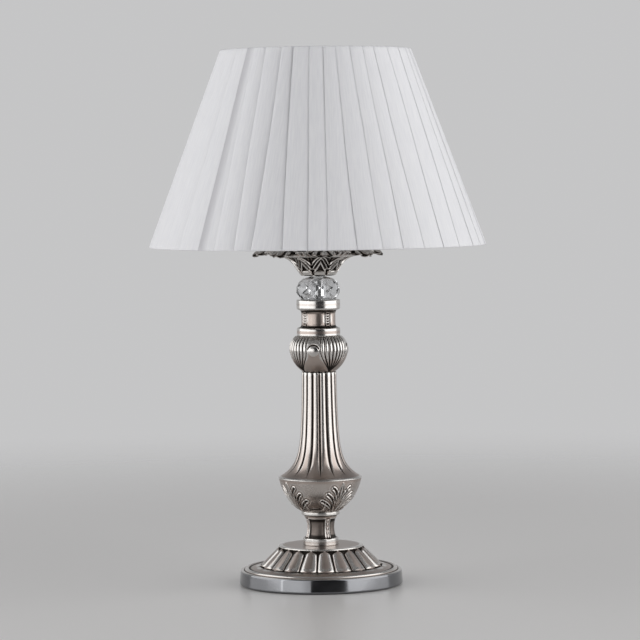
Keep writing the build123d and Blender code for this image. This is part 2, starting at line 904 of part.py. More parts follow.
with BuildPart() as holder_terminal_screws:
    with BuildSketch(Plane.XY.offset(insert_level)):
        with Locations((0, terminal_screw_offset)):
            with GridLocations(terminal_spacing, 0, 2, 1):
                Circle(terminal_screw_radius)
    extrude(amount=terminal_screw_length)

# Screw shell and centre contact of the lampholder
with BuildPart() as holder_screw_shell:
    with BuildSketch(Plane.XY.offset(seat_level)):
        Circle(shell_outer)
        Circle(shell_inner, mode=Mode.SUBTRACT)
    extrude(amount=socket_depth - shell_lift)

with BuildPart() as holder_centre_contact:
    with BuildSketch(Plane.XY.offset(seat_level)):
        Circle(contact_radius)
    extrude(amount=contact_base)
    with BuildSketch(Plane.XY.offset(seat_level + contact_base)):
        Circle(contact_pip_radius)
    extrude(amount=contact_pip_height)

# Clamp ring that holds the shade's gallery down on the flange
with BuildPart() as shade_clamp_ring:
    with BuildSketch(Plane.XY.offset(ring_level)):
        Circle(ring_bore + ring_width)
        Circle(ring_bore, mode=Mode.SUBTRACT)
    extrude(amount=ring_height)
    chamfer(shade_clamp_ring.edges().group_by(Axis.Z)[-1], length=ring_chamfer)

# Leads from the terminal block, up the tube, to the insert
lead_pieces = {}
for lead_name, side in (("live_lead", -1), ("neutral_lead", 1)):
    lead_height = cover_top + block_hole_height
    lead_start = (side * block_hole_spacing / 2, block_offset - block_depth / 2 + lead_end_depth, lead_height)
    with BuildPart() as lead:
        with BuildLine() as route:
            FilletPolyline(
                lead_start,
                (side * block_hole_spacing / 2, lead_rise_offset, lead_height),
                (side * lead_spacing / 2, 0, tube_bottom - tube_overhang),
                (side * lead_spacing / 2, 0, tube_top),
                (side * terminal_spacing / 2, 0, skirt_level),
                (side * terminal_spacing / 2, 0, insert_level + lead_end_depth),
                radius=(lead_bend, lead_bend, lead_turn, lead_turn),
            )
        with BuildSketch(Plane(origin=route.line @ 0, z_dir=route.line % 0)):
            Circle(lead_radius)
        sweep()
    lead_pieces[lead_name] = lead

# Bulb, from its tip up
with BuildPart() as bulb_contact:
    with BuildSketch(Plane.XY.offset(tip_level)):
        Circle(tip_radius)
    extrude(amount=tip_height)
    fillet(bulb_contact.edges().group_by(Axis.Z)[0], radius=tip_round)

with BuildPart() as bulb_insulator:
    with Locations((0, 0, insulator_level)):
        Cone(tip_radius, insulator_top_radius, insulator_height, align=STANDING)

with BuildPart() as bulb_cap:
    with BuildSketch(Plane.XY.offset(bulb_cap_level)):
        Circle(bulb_cap_radius)
        Circle(bulb_cap_radius - bulb_cap_wall, mode=Mode.SUBTRACT)
    extrude(amount=bulb_cap_height)
    with BuildSketch(Plane.XY.offset(bulb_cap_level)):
        Circle(bulb_cap_radius - bulb_cap_wall)
    extrude(amount=bulb_cap_wall)

with BuildPart() as bulb_housing:
    globe_base_radius = sqrt(globe_radius**2 - globe_drop**2)
    spigot_radius = bulb_cap_radius - bulb_cap_wall - part_fit
    with BuildSketch(Plane.XZ):
        with BuildLine():
            Polyline(
                (0, housing_level - housing_spigot),
                (spigot_radius, housing_level - housing_spigot),
                (spigot_radius, housing_level),
                (bulb_cap_radius, housing_level),
                (globe_base_radius, globe_level),
                (0, globe_level),
                close=True,
            )
        make_face()
    revolve(axis=Axis.Z)

with BuildPart() as led_board:
    with BuildSketch(Plane.XY.offset(globe_level)):
        Circle(board_radius)
    extrude(amount=board_thickness)

with BuildPart() as bulb_globe:
    with Locations((0, 0, globe_level + globe_drop)):
        Sphere(globe_radius)
        Sphere(globe_radius - globe_wall, mode=Mode.SUBTRACT)
    split(bisect_by=Plane.XY.offset(globe_level), keep=Keep.TOP)

# Shade fabric: knife pleats that run straight from the top to the bottom
with BuildPart() as shade_fabric:
    lower_edge = pleat_outline(shade_level, shade_bottom_radius)
    upper_edge = pleat_outline(shade_top, shade_top_radius)
    loft([lower_edge, upper_edge], ruled=True)
    with BuildSketch(Plane.XZ):
        with BuildLine():
            Polyline(
                (0, shade_level),
                (fabric_inner_bottom, shade_level),
                (fabric_inner_top, shade_top),
                (0, shade_top),
                close=True,
            )
        make_face()
    revolve(axis=Axis.Z, mode=Mode.SUBTRACT)

with BuildPart() as shade_liner:
    with BuildSketch(Plane.XZ):
        with BuildLine():
            Polyline(
                (liner_outer_bottom - liner_thickness, shade_level),
                (liner_outer_bottom, shade_level),
                (liner_outer_top, shade_top),
                (liner_outer_top - liner_thickness, shade_top),
                close=True,
            )
        make_face()
    revolve(axis=Axis.Z)

# Wire rings inside the liner, and the arms down to the gallery on the lampholder
bottom_wall = shade_wall(wire_level - shade_level, liner_outer_bottom, liner_outer_top)
top_wall = shade_wall(top_wire_level - shade_level, liner_outer_bottom, liner_outer_top)
wall_lean = (liner_outer_bottom - liner_outer_top) / shade_height
wire_reach = liner_thickness + liner_gap + ring_wire_radius * sqrt(1 + wall_lean**2)
bottom_ring_radius = bottom_wall - wire_reach
top_ring_radius = top_wall - wire_reach

with BuildPart() as shade_top_ring:
    with Locations((0, 0, top_wire_level)):
        Torus(top_ring_radius, ring_wire_radius)

with BuildPart() as shade_lower_frame:
    with BuildSketch(Plane.XY.offset(gallery_level)):
        Circle(gallery_radius)
        Circle(gallery_bore, mode=Mode.SUBTRACT)
    extrude(amount=gallery_thickness)
    with Locations((0, 0, wire_level)):
        Torus(bottom_ring_radius, ring_wire_radius)
    arm_start = gallery_radius - arm_overlap
    for arm in range(arm_count):
        outward = polar(1, arm_angle + arm * 360 / arm_count)
        arm_origin = (arm_start * outward[0], arm_start * outward[1], arm_level)
        with BuildSketch(Plane(origin=arm_origin, z_dir=(outward[0], outward[1], 0))):
            Circle(arm_wire_radius)
        extrude(amount=bottom_ring_radius - arm_start)

pieces = {
    "foot_casting": foot_casting,
    "weight_ring": weight_ring,
    "bottom_cover": bottom_cover,
    "cover_screws": cover_screws,
    "felt_pad": felt_pad,
    "cord_bushing": cord_bushing,
    "terminal_block": terminal_block,
    "terminal_block_screws": terminal_block_screws,
    "threaded_tube": threaded_tube,
    "lower_washer": lower_washer,
    "lower_nut": lower_nut,
    "panelled_neck": panelled_neck,
    "urn_bowl": urn_bowl,
    "reeded_column": reeded_column,
    "ribbed_knop": ribbed_knop,
    "upper_spool": upper_spool,
    "crystal_bead": crystal_bead,
    "crystal_washers": crystal_washers,
    "leaf_cup": leaf_cup,
    "cup_nut": cup_nut,
    "holder_cap": holder_cap,
    "holder_skirt": holder_skirt,
    "holder_insert": holder_insert,
    "holder_screw_shell": holder_screw_shell,
    "holder_centre_contact": holder_centre_contact,
    "holder_terminal_screws": holder_terminal_screws,
    "shade_clamp_ring": shade_clamp_ring,
    "live_lead": lead_pieces["live_lead"],
    "neutral_lead": lead_pieces["neutral_lead"],
    "bulb_contact": bulb_contact,
    "bulb_insulator": bulb_insulator,
    "bulb_cap": bulb_cap,
    "bulb_housing": bulb_housing,
    "led_board": led_board,
    "bulb_globe": bulb_globe,
    "shade_fabric": shade_fabric,
    "shade_liner": shade_liner,
    "shade_top_ring": shade_top_ring,
    "shade_lower_frame": shade_lower_frame,
}

os.makedirs("parts", exist_ok=True)
for name, piece in pieces.items():
    piece.part.label = name
    export_step(piece.part, f"parts/{name}.step")
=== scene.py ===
import json
from math import cos, radians, sin

import bmesh
import bpy
import numpy as np
from mathutils import Matrix, Vector


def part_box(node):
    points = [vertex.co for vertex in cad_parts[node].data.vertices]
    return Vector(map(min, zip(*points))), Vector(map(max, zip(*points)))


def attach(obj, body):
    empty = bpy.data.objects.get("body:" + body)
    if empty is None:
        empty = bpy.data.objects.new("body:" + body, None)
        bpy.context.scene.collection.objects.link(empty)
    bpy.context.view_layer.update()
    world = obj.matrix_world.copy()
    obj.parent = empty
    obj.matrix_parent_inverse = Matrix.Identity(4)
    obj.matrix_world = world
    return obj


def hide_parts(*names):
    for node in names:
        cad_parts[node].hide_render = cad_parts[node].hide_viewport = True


# Table lamp: fine castings, pleated shade, finishes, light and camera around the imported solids.
# Sizes are in millimetres, and meshes are made in metres.
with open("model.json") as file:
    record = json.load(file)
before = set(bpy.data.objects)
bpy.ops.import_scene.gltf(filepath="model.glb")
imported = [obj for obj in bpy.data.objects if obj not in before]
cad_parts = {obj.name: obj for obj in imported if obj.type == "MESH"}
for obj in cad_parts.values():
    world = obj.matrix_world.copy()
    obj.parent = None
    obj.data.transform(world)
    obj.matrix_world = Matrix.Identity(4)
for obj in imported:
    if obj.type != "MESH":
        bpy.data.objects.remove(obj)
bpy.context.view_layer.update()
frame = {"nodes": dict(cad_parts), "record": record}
MM = 0.001


def span(node):
    """Lowest level, highest level and outer radius of a node."""
    low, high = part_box(node)
    return low.z / MM, high.z / MM, high.x / MM


foot_low, foot_top, foot_radius = span("foot_casting")
neck_low, neck_top, neck_collar_radius = span("panelled_neck")
bowl_low, bowl_top, bowl_radius = span("urn_bowl")
column_low, column_top, _ = span("reeded_column")
knop_low, knop_top, _ = span("ribbed_knop")
spool_low, spool_top, upper_collar_radius = span("upper_spool")
cup_low, _, _ = span("leaf_cup")
shade_low, shade_top, shade_bottom_radius = span("shade_fabric")
felt_low, felt_top, felt_radius = span("felt_pad")
# Radius of the hole for the tube, spacing of profile points, points of a rounding and columns of a fine mesh
bore = 5.3
profile_step = 0.5
corner_points = 6
fine_columns = 960
# Degrees by which the viewer stands to the right of the lamp's front
view_turn = 10.8


# Shape helpers
def ease(value, low, high):
    """0 at low, 1 at high, smooth between; low may be the larger."""
    share = np.clip((value - low) / (high - low), 0, 1)
    return share * share * (3 - 2 * share)


def hill(value, middle, width):
    """A smooth hill of height 1 around the middle."""
    return np.exp(-(((value - middle) / width) ** 2))


def window(value, low, high, edge):
    """1 between low and high, falling to 0 over the edge width at both ends."""
    rise = ease(value, low - edge / 2, low + edge / 2)
    fall = ease(value, high + edge / 2, high - edge / 2)
    return rise * fall


def between(pair, share):
    """The value at a share of the way through a pair."""
    return pair[0] + (pair[1] - pair[0]) * share


def in_pattern(turn, count, first=0.0):
    """Angle, either way, from the middle of the nearest of so many equal repeats."""
    pitch = 360 / count
    return np.abs((turn - first + pitch / 2) % pitch - pitch / 2)


def cusp(share):
    """Depth of a round rib's flank: 0 at its crest, 1 in the crease, where it is steepest."""
    share = np.clip(share, 0, 1)
    return 1 - np.sqrt(1 - share * share)


def distance_along(points):
    """Distance of each point of a line from its start."""
    return np.concatenate([[0], np.cumsum(np.linalg.norm(np.diff(points, axis=0), axis=1))])


def spaced(points, step):
    """The same line with its points evenly spaced."""
    points = np.asarray(points, float)
    length = distance_along(points)
    places = np.linspace(0, length[-1], max(2, int(round(length[-1] / step)) + 1))
    return np.stack([np.interp(places, length, points[:, axis]) for axis in range(2)], axis=1)


def rounded(corners):
    """A line through corners given as (radius, level, size of the rounding)."""
    corners = np.array(corners, float)
    points = [corners[0, :2]]
    for before, here, after in zip(corners, corners[1:], corners[2:]):
        corner, size = here[:2], here[2]
        back = before[:2] - corner
        ahead = after[:2] - corner
        start = corner + back * min(0.5, size / np.linalg.norm(back))
        end = corner + ahead * min(0.5, size / np.linalg.norm(ahead))
        for share in np.linspace(0, 1, corner_points if size else 1):
            points.append((1 - share) ** 2 * start + 2 * share * (1 - share) * corner + share**2 * end)
    return np.array([*points, corners[-1, :2]])


def circle(centre, radius, angle):
    """Points of a circle at the given angles."""
    return np.stack([centre[0] + radius * np.cos(angle), centre[1] + radius * np.sin(angle)], axis=1)


def arc(first, middle, last, count=40):
    """Points of the circle through three points."""
    points = np.array([first, middle, last], float)
    centre = np.linalg.solve(2 * np.diff(points, axis=0), np.diff(np.sum(points**2, axis=1)))
    across, up = (points - centre).T
    angles = np.unwrap(np.arctan2(up, across))
    return circle(centre, np.hypot(across[0], up[0]), np.linspace(angles[0], angles[2], count))


def joined(*lines):
    """Several lines as one, without the doubled points where they meet."""
    points = np.concatenate([np.asarray(line, float)[:, :2] for line in lines])
    keep = np.concatenate([[True], np.linalg.norm(np.diff(points, axis=0), axis=1) > 1e-6])
    return points[keep]


def normals_of(profile):
    """Outward normals of a profile that runs upward on the outside."""
    along = np.gradient(profile, axis=0)
    along /= np.linalg.norm(along, axis=1)[:, None]
    return np.stack([along[:, 1], -along[:, 0]], axis=1)


def blurred(values, reach, axis, mode):
    """Running mean over reach samples each way; the mode says what lies past the ends."""
    pads = [(0, 0)] * values.ndim
    pads[axis] = (reach, reach)
    padded = np.pad(values, pads, mode=mode)
    places = np.arange(values.shape[axis])
    shifts = range(2 * reach + 1)
    return sum(np.take(padded, places + shift, axis) for shift in shifts) / len(shifts)


def recess_of(points, normals, reach):
    """How far each point of a grid lies below its surroundings; edges come out negative."""
    around = points
    for _ in range(2):
        around = blurred(around, reach[0], 0, "edge")
        around = blurred(around, reach[1], 1, "wrap")
    return np.sum((around - points) * normals, axis=2)


def turns(columns):
    """So many equal turns round the axis, as one row of degrees."""
    return np.arange(columns)[None, :] * 360 / columns


def placed(turn, radius, level):
    """Points round the axis; a turn of 0 faces the front and grows to the right."""
    angle = np.radians(turn)
    return np.stack(np.broadcast_arrays(radius * np.sin(angle), -radius * np.cos(angle), level), axis=2)


def swept(turn, line):
    """A line of (radius, level) points turned round the axis."""
    return placed(turn, line[:, :1], line[:, 1:])


def raised(turn, line, normal, height):
    """A line turned round the axis, with its points raised along their normals."""
    return placed(turn, line[:, :1] + normal[:, :1] * height, line[:, 1:] + normal[:, 1:] * height)


def add_object(name, data):
    """A new object in the scene."""
    item = bpy.data.objects.new(name, data)
    bpy.context.scene.collection.objects.link(item)
    return item


def grid_piece(name, points, values, body, material, ring_rows):
    """A piece from a grid of points that closes round the axis, with named values on them."""
    rows, columns = points.shape[:2]
    here = np.arange(rows * columns).reshape(rows, columns)
    right = np.roll(here, -1, 1)
    faces = np.stack([here, right, np.roll(right, -1, 0), np.roll(here, -1, 0)], axis=2)
    faces = (faces if ring_rows else faces[:-1]).reshape(-1, 4)
    mesh = bpy.data.meshes.new(name)
    mesh.from_pydata((points.reshape(-1, 3) * MM).tolist(), [], faces.tolist())
    for value_name, value in values.items():
        attribute = mesh.attributes.new(value_name, "FLOAT", "POINT")
        attribute.data.foreach_set("value", np.asarray(value, np.float32).ravel())
    mesh.shade_smooth()
    piece = add_object(name, mesh)
    mesh.materials.append(material)
    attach(piece, body)
    return piece


def casting(name, node, outer, inner, relief, stain_and_shade, reach, columns=fine_columns, chrome=None):
    """A turned silver casting with relief on its outer face, which replaces a solid of the stand.

    The added values raise its recess for patina or lower it for more polish; on the knop they also hold
    painted shade. Chrome is the share of plain plating, whose dark tone is partly painted shade.
    """
    outer = spaced(outer, profile_step)
    inner = spaced(inner, 4 * profile_step)
    turn = turns(columns)
    radius, level = outer[:, :1], outer[:, 1:]
    normal = normals_of(outer)
    skin = raised(turn, outer, normal, relief(turn, radius, level))
    recess = recess_of(skin, swept(turn, normal), reach) + stain_and_shade(turn, radius, level)
    past_skin = ((0, len(inner)), (0, 0))
    values = {"recess": np.pad(recess, past_skin)}
    if chrome:
        share = np.broadcast_to(chrome(turn, radius, level), recess.shape)
        values["chrome"] = np.pad(share, past_skin)
    points = np.concatenate([skin, swept(turn, inner)])
    piece = grid_piece(name, points, values, "stand", silver, True)
    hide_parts(node)


# Material helpers
def new_material(name, colour, roughness, metallic=0.0):
    """A material, its node tree and its shader, with the values that are the same all over."""
    material = bpy.data.materials.new(name)
    material.use_nodes = True
    shader = material.node_tree.nodes["Principled BSDF"]
    shader.inputs["Base Color"].default_value = (*colour, 1)
    shader.inputs["Roughness"].default_value = roughness
    shader.inputs["Metallic"].default_value = metallic
    return material, material.node_tree, shader


def add_node(tree, kind, settings=(), **inputs):
    """A node with its settings and its inputs, each a socket or a value; _0 is the first input."""
    node = tree.nodes.new("ShaderNode" + kind)
    for key, value in dict(settings).items():
        setattr(node, key, value)
    for key, value in inputs.items():
        socket = node.inputs[int(key[1:]) if key[0] == "_" else key]
        if isinstance(value, bpy.types.NodeSocket):
            link(value, socket)
        else:
            socket.default_value = value
    return node


def link(source, socket):
    socket.id_data.links.new(source, socket)


def noise(tree, scale, detail):
    """Noise in object space, with scale in repeats per metre."""
    place = add_node(tree, "TexCoord").outputs["Object"]
    return add_node(tree, "TexNoise", Vector=place, Scale=scale, Detail=detail).outputs[0]


def ramp(value, low, high, to_low=0.0, to_high=1.0):
    """A value mapped smoothly from one range to another."""
    inputs = {"_0": value, "_1": low, "_2": high, "_3": to_low, "_4": to_high}
    return add_node(value.id_data, "MapRange", {"interpolation_type": "SMOOTHSTEP"}, **inputs).outputs[0]


def clouded(texture, to_low=0.0, to_high=1.0):
    """A noise, most of which lies between 0.3 and 0.7, spread over a whole range."""
    return ramp(texture, 0.3, 0.7, to_low, to_high)


def mixed(share, first, second):
    """A colour between two colours, each a socket or three numbers."""
    colours = [c if isinstance(c, bpy.types.NodeSocket) else (*c, 1) for c in (first, second)]
    node = add_node(share.id_data, "Mix", {"data_type": "RGBA"}, _0=share, _6=colours[0], _7=colours[1])
    return node.outputs[2]


def calc(operation, first, second):
    """One arithmetic step on values."""
    return add_node(first.id_data, "Math", {"operation": operation}, _0=first, _1=second).outputs[0]


def attribute(tree, name):
    """A value that a mesh carries on its points."""
    return add_node(tree, "Attribute", {"attribute_name": name}).outputs["Fac"]


def add_bump(shader, height, distance, strength=1.0):
    """Fine relief, with its depth in metres."""
    node = add_node(shader.id_data, "Bump", Height=height, Distance=distance, Strength=strength)
    link(node.outputs[0], shader.inputs["Normal"])


def mottled(name, dark, light, scale, roughness, metallic, grain):
    """A finish with clouded colour, uneven gloss and a fine grain, its depth in metres."""
    material, tree, shader = new_material(name, light, roughness, metallic)
    cloud = noise(tree, scale, 5)
    link(mixed(clouded(cloud), dark, light), shader.inputs["Base Color"])
    link(clouded(cloud, roughness * 0.85, roughness * 1.15), shader.inputs["Roughness"])
    add_bump(shader, noise(tree, scale * 12, 3), grain)
    return material, shader


# Silver: its tones, the recess in millimetres where patina and polish begin and are full, and its roughness
worn_tones = ((0.37, 0.315, 0.285), (0.47, 0.405, 0.367))
polished_tone = (0.6, 0.582, 0.56)
patina_tone = (0.03, 0.026, 0.023)
# Tone of the plain plated band, darker than bare plating: partly painted shade for the dark surround it
# reflects
chrome_tone_with_painted_shade = (0.2, 0.203, 0.212)
patina_recess = (0.08, 0.34)
polish_recess = (-0.01, -0.12)
worn_roughness = 0.32
polished_roughness = 0.21
patina_dullness = 0.2
chrome_gloss = 0.11


def antique_silver():
    """Polished where it stands proud, warm grey between, dark patina in the recesses; painted shade on the
    plated band and on the knop's lower half.
    """
    material, tree, shader = new_material("antique_silver", (0.7, 0.68, 0.66), 0.2, 1.0)
    cloudy = noise(tree, 30, 3)
    speckle = clouded(noise(tree, 500, 3), -0.005, 0.005)
    depth = calc("ADD", attribute(tree, "recess"), speckle)
    patina = ramp(depth, *patina_recess)
    polish = ramp(depth, *polish_recess)
    worn = mixed(clouded(cloudy), *worn_tones)
    polished = mixed(polish, worn, polished_tone)
    aged = mixed(patina, polished, patina_tone)
    chrome = attribute(tree, "chrome")
    # The plated band's darker tone, partly painted shade
    link(mixed(chrome, aged, chrome_tone_with_painted_shade), shader.inputs["Base Color"])
    rough = ramp(polish, 0, 1, worn_roughness, polished_roughness)
    rough = calc("ADD", rough, clouded(cloudy, -0.03, 0.03))
    for share, more in ((patina, patina_dullness), (chrome, -chrome_gloss)):
        rough = calc("ADD", rough, ramp(share, 0, 1, 0, more))
    link(rough, shader.inputs["Roughness"])
    add_bump(shader, noise(tree, 250, 4), 0.000012, 0.5)
    return material


silver = antique_silver()


# Foot: banded rim, ridge, moat, gadrooned dome and flat top
band_top = 15.5
dome_level = 19.5
dome_radius = 64.0
dome_top = 39.0
plateau_radius = 43.6
plateau_thickness = 5.0
cavity_radius = 81.5
foot_wall = 3.5
gadroon_count = 20
gadroon_first = -2.4
gadroon_depth = 3.8
gadroon_width = 0.98
gadroon_top_width = 0.86
gadroon_round = 0.14
gadroon_fullness = 0.55
band_lean = 1.15
band_groove = 4.8
crest_stain = 0.12
gap_polish = 0.14
band_polish = 0.3


def gadroons(turn, level):
    """Share of the way from a gadroon's middle to the gap beside it, and up the dome."""
    across = in_pattern(turn, gadroon_count, gadroon_first) * gadroon_count / 180
    return across, (level - dome_level) / (dome_top - dome_level)


def foot_relief(turn, radius, level):
    across, along = gadroons(turn, level)
    lower_end = np.sqrt(1 - np.clip((gadroon_round - along) / gadroon_round, 0, 1) ** 2)
    upper_end = 1 - (1 - gadroon_top_width / gadroon_width) * ease(along, 0.3, 1.0)
    upper_end = upper_end * np.sqrt(1 - np.clip((along - 1) / gadroon_round + 1, 0, 0.98) ** 2)
    width = gadroon_width * np.minimum(lower_end, upper_end) + 2e-6
    lobe = np.clip(1 - (across / width) ** 2, 0, 1) ** gadroon_fullness
    on_dome = window(along, 0.0, 1.0, 0.02) * window(radius, plateau_radius, dome_radius, 0.4)
    return -gadroon_depth * (radius / dome_radius) * (1 - lobe) * on_dome


def foot_stain(turn, radius, level):
    across, along = gadroons(turn, level)
    crests = crest_stain * ease(across, 0.9, 0.4) * window(along, 0.0, 1.0, 0.1)
    band = band_polish * ease(radius, foot_radius - band_groove, foot_radius - band_groove + 1)
    gaps = gap_polish * window(along, 0.0, 0.75, 0.3) * ease(across, 0.6, 0.9)
    return crests - band - gaps


# Where the plain plated band is, whose darker tone is partly painted shade
def foot_chrome(turn, radius, level):
    return ease(radius, foot_radius - band_lean - 0.5, foot_radius - band_lean - 0.1)


def make_foot():
    outer = rounded([
        (cavity_radius, foot_low, 0),
        (foot_radius - 0.9, foot_low, 0.4),
        (foot_radius, foot_low + 1.0, 0.6),
        (foot_radius - band_lean, band_top, 1.8),
        (foot_radius - 4.2, band_top + 0.2, 0.5),
        (foot_radius - band_groove, band_top - 0.7, 0.3),
        (foot_radius - 5.4, band_top + 0.3, 0.4),
        (foot_radius - 6.6, band_top + 2.3, 1.2),
        (foot_radius - 8.6, band_top + 2.3, 1.2),
        (foot_radius - 10.0, band_top + 1.2, 1.0),
        (dome_radius, dome_level - 0.3, 0.8),
        (plateau_radius + 0.2, dome_top, 0.3),
        (plateau_radius + 0.3, dome_top + 0.6, 0.3),
        (plateau_radius, foot_top, 1.8),
        (bore, foot_top, 0),
    ])
    inner = [
        (bore, foot_top - plateau_thickness),
        (plateau_radius - gadroon_depth - foot_wall, foot_top - plateau_thickness),
        (dome_radius - gadroon_depth - foot_wall, dome_level - foot_wall),
        (cavity_radius, band_top - foot_wall),
    ]
    casting("foot", "foot_casting", outer, inner, foot_relief, foot_stain, (5, 6), chrome=foot_chrome)


# Neck: plinth, waist with four framed panels, step and collar
plinth_radius = 18.4
plinth_height = 7.0
neck_end_radius = 16.3
neck_waist_radius = 14.4
neck_step_radius = 17.3
neck_first = -5.5
neck_panel_half_angle = 33.0
neck_panel_low = neck_low + plinth_height + 1.2
neck_panel_high = neck_top - 7.9
neck_panel_depth = 1.0
neck_panel_swell = 0.75
neck_frame_height = 0.45
braid_sway = 2.6
braid_pitch = 9.0
braid_height = 0.5
braid_half_width = 2.2
neck_collar_stain = 0.3
neck_panel_stain = 0.2


def neck_panels(turn, level):
    """Angle from a panel's middle, whether at the level of the panels, and whether on one."""
    side = in_pattern(turn, 4, neck_first)
    on_level = window(level, neck_panel_low, neck_panel_high, 1.0)
    return side, on_level, window(side, -90, neck_panel_half_angle, 4.0) * on_level


def neck_relief(turn, radius, level):
    side, on_level, on_panel = neck_panels(turn, level)
    from_corner = in_pattern(turn, 4, neck_first + 45)
    swell = neck_panel_swell * (1 - (side / neck_panel_half_angle) ** 2)
    panel = on_panel * (np.maximum(swell, 0) - neck_panel_depth)
    frame_side = hill(side, neck_panel_half_angle + 3.4, 1.8) * on_level
    frame_ends = hill(level, neck_panel_low - 1.0, 0.5) + hill(level, neck_panel_high + 1.0, 0.5)
    frame_ends = frame_ends * window(side, -90, neck_panel_half_angle + 4.0, 2.0)
    strand = braid_sway * np.sin(2 * np.pi * level / braid_pitch)
    strands = hill(from_corner, strand, braid_half_width) + hill(from_corner, -strand, braid_half_width)
    return panel + neck_frame_height * (frame_side + frame_ends) + braid_height * strands * on_level


def neck_stain(turn, radius, level):
    collar = ease(level, neck_top - 4.2, neck_top - 3.8) * (radius > neck_step_radius)
    return neck_collar_stain * collar + neck_panel_stain * neck_panels(turn, level)[2]


def make_neck():
    waist_low = neck_low + plinth_height + 0.6
    waist_high = neck_top - 6.4
    middle = (neck_waist_radius, (waist_low + waist_high) / 2)
    waist = arc((neck_end_radius, waist_low), middle, (neck_end_radius, waist_high))
    lower = rounded([
        (bore, neck_low, 0),
        (plinth_radius, neck_low, 0.5),
        (plinth_radius, neck_low + plinth_height, 0.8),
        (neck_end_radius + 0.4, neck_low + plinth_height + 0.2, 0.4),
        (neck_end_radius, waist_low, 0),
    ])
    upper = rounded([
        (neck_end_radius, waist_high, 0),
        (neck_step_radius, neck_top - 5.0, 0.4),
        (neck_step_radius, neck_top - 3.9, 0.3),
        (neck_collar_radius, neck_top - 3.5, 0.5),
        (neck_collar_radius, neck_top, 0.5),
        (bore, neck_top, 0),
    ])
    inner = [(bore, neck_top - 1), (bore, neck_low + 1)]
    outer = joined(lower, waist, upper)
    casting("neck", "panelled_neck", outer, inner, neck_relief, neck_stain, (4, 4), 480)


# Urn bowl: four acanthus leaves at the diagonals, joined below by a curled moulding
bowl_middle = (34.5, bowl_low + 14.2)
bowl_bead_height = 1.4
bowl_bead_proud = 0.6
casting_wall = 3.0
# Each frond: its points as degrees from the leaf's spine and height over the bowl's foot, and its half width
leaf_fronds = (
    (((3, 3), (3, 12), (5, 22), (14, 26.5)), 1.9),
    (((5, 2.5), (7, 8), (11, 15), (22.5, 20.0)), 1.8),
    (((8, 2.0), (12, 5), (20, 9.5), (31.5, 13.0)), 1.7),
)
bowl_leaf_turn = 45.0
leaf_blade_half_width = 4.2
leaf_blade_length = 31
frond_points = 40
leaf_rim = 0.55
leaf_hollow = 0.8
moulding_low = 1.8
moulding_height = 9.0
moulding_half_width = 11.5
bowl_panel_polish = 0.034


def curve_point(points, share):
    """The point at a share of the way along a cubic curve with four control points."""
    rest = 1 - share
    return np.dot([rest**3, 3 * share * rest**2, 3 * share**2 * rest, share**3], points)


def frond_relief(across, level, radius, points, half_width):
    """A raised teardrop along a curve: a thin rim round a hollow that widens towards its tip."""
    nearest = np.full(np.broadcast_shapes(across.shape, level.shape), 1e9)
    share_along = np.zeros_like(nearest)
    for share in np.linspace(0, 1, frond_points):
        angle, height = curve_point(points, share)
        distance = np.hypot(np.radians(across - angle) * radius, level - height)
        share_along = np.where(distance < nearest, share, share_along)
        nearest = np.minimum(nearest, distance)
    width = half_width * (0.25 + 0.75 * ease(share_along, 0.1, 0.85))
    rim = leaf_rim * hill(nearest, width, 0.55)
    hollow = leaf_hollow * ease(nearest, width * 0.9, 0) * ease(share_along, 0.2, 0.6)
    outside = 0.35 * hill(nearest, width + 1.2, 0.6)
    return rim - hollow - outside


def bowl_relief(turn, radius, level):
    height = level - bowl_low
    across = in_pattern(turn, 4, bowl_leaf_turn)
    total = sum(frond_relief(across, height, radius, *frond) for frond in leaf_fronds)
    up_blade = np.clip((height - 1) / leaf_blade_length, 0, 1)
    blade = leaf_blade_half_width * np.sin(np.pi * up_blade) ** 0.7 + 0.01
    beside = np.radians(across) * radius
    edges = 0.5 * hill(beside, blade, 0.6)
    spine = 0.45 * hill(beside, 0, 0.7)
    hollow = 0.35 * window(beside, 0.9, blade - 0.5, 0.8)
    total += edges + spine - hollow
    panel = np.radians(45 - across) * radius
    moulding_rise = moulding_height * (panel / moulding_half_width) ** 4
    slope = 4 * moulding_rise / np.maximum(panel, 0.1)
    from_moulding = (height - moulding_low - moulding_rise) / np.sqrt(1 + slope**2)
    on_moulding = window(panel, -50, moulding_half_width, 1.0)
    total += 0.75 * hill(from_moulding, 0, 0.7) * on_moulding
    total -= 0.5 * hill(from_moulding, 1.6, 0.7) * on_moulding
    on_bowl = window(height, 0.6, bowl_top - bowl_low - 3.2, 1.2) * (radius > neck_collar_radius - 1)
    return total * on_bowl


def bowl_stain(turn, radius, level):
    panel = ease(in_pattern(turn, 4, bowl_leaf_turn), 14, 30)
    on_side = window(level - bowl_low, 6, bowl_top - bowl_low - 2, 8) * (radius > neck_collar_radius)
    return -bowl_panel_polish * panel * on_side


def make_bowl():
    rim = bowl_radius - bowl_bead_proud
    bead_low = bowl_top - bowl_bead_height
    foot = [(bore, bowl_low), (neck_collar_radius - 0.4, bowl_low)]
    side = arc((neck_collar_radius, bowl_low + 0.4), bowl_middle, (rim, bead_low))
    bead = arc((rim, bead_low), (bowl_radius, bead_low + bowl_bead_height / 2), (rim, bowl_top), 12)
    inner = [
        (bowl_radius - casting_wall, bowl_top),
        (bowl_middle[0] - casting_wall, bowl_middle[1] + casting_wall),
        (neck_collar_radius, bowl_low + 2 * casting_wall),
        (bore, bowl_low + 2 * casting_wall),
    ]
    outer = joined(foot, side, bead)
    casting("bowl", "urn_bowl", outer, inner, bowl_relief, bowl_stain, (3, 4))


# Reeded column: sixteen reeds whose creases run out as points on the bell
column_radius = 17.7
bell_slow_flare = 8.0
bell_steep_length = 10.0
bell_slow_length = 40.0
reed_count = 16
reed_depth = 2.0
reed_fade_start = 22.0
reed_fade_end = 38.5
reed_stain = 0.4
groove_half_share = 0.17


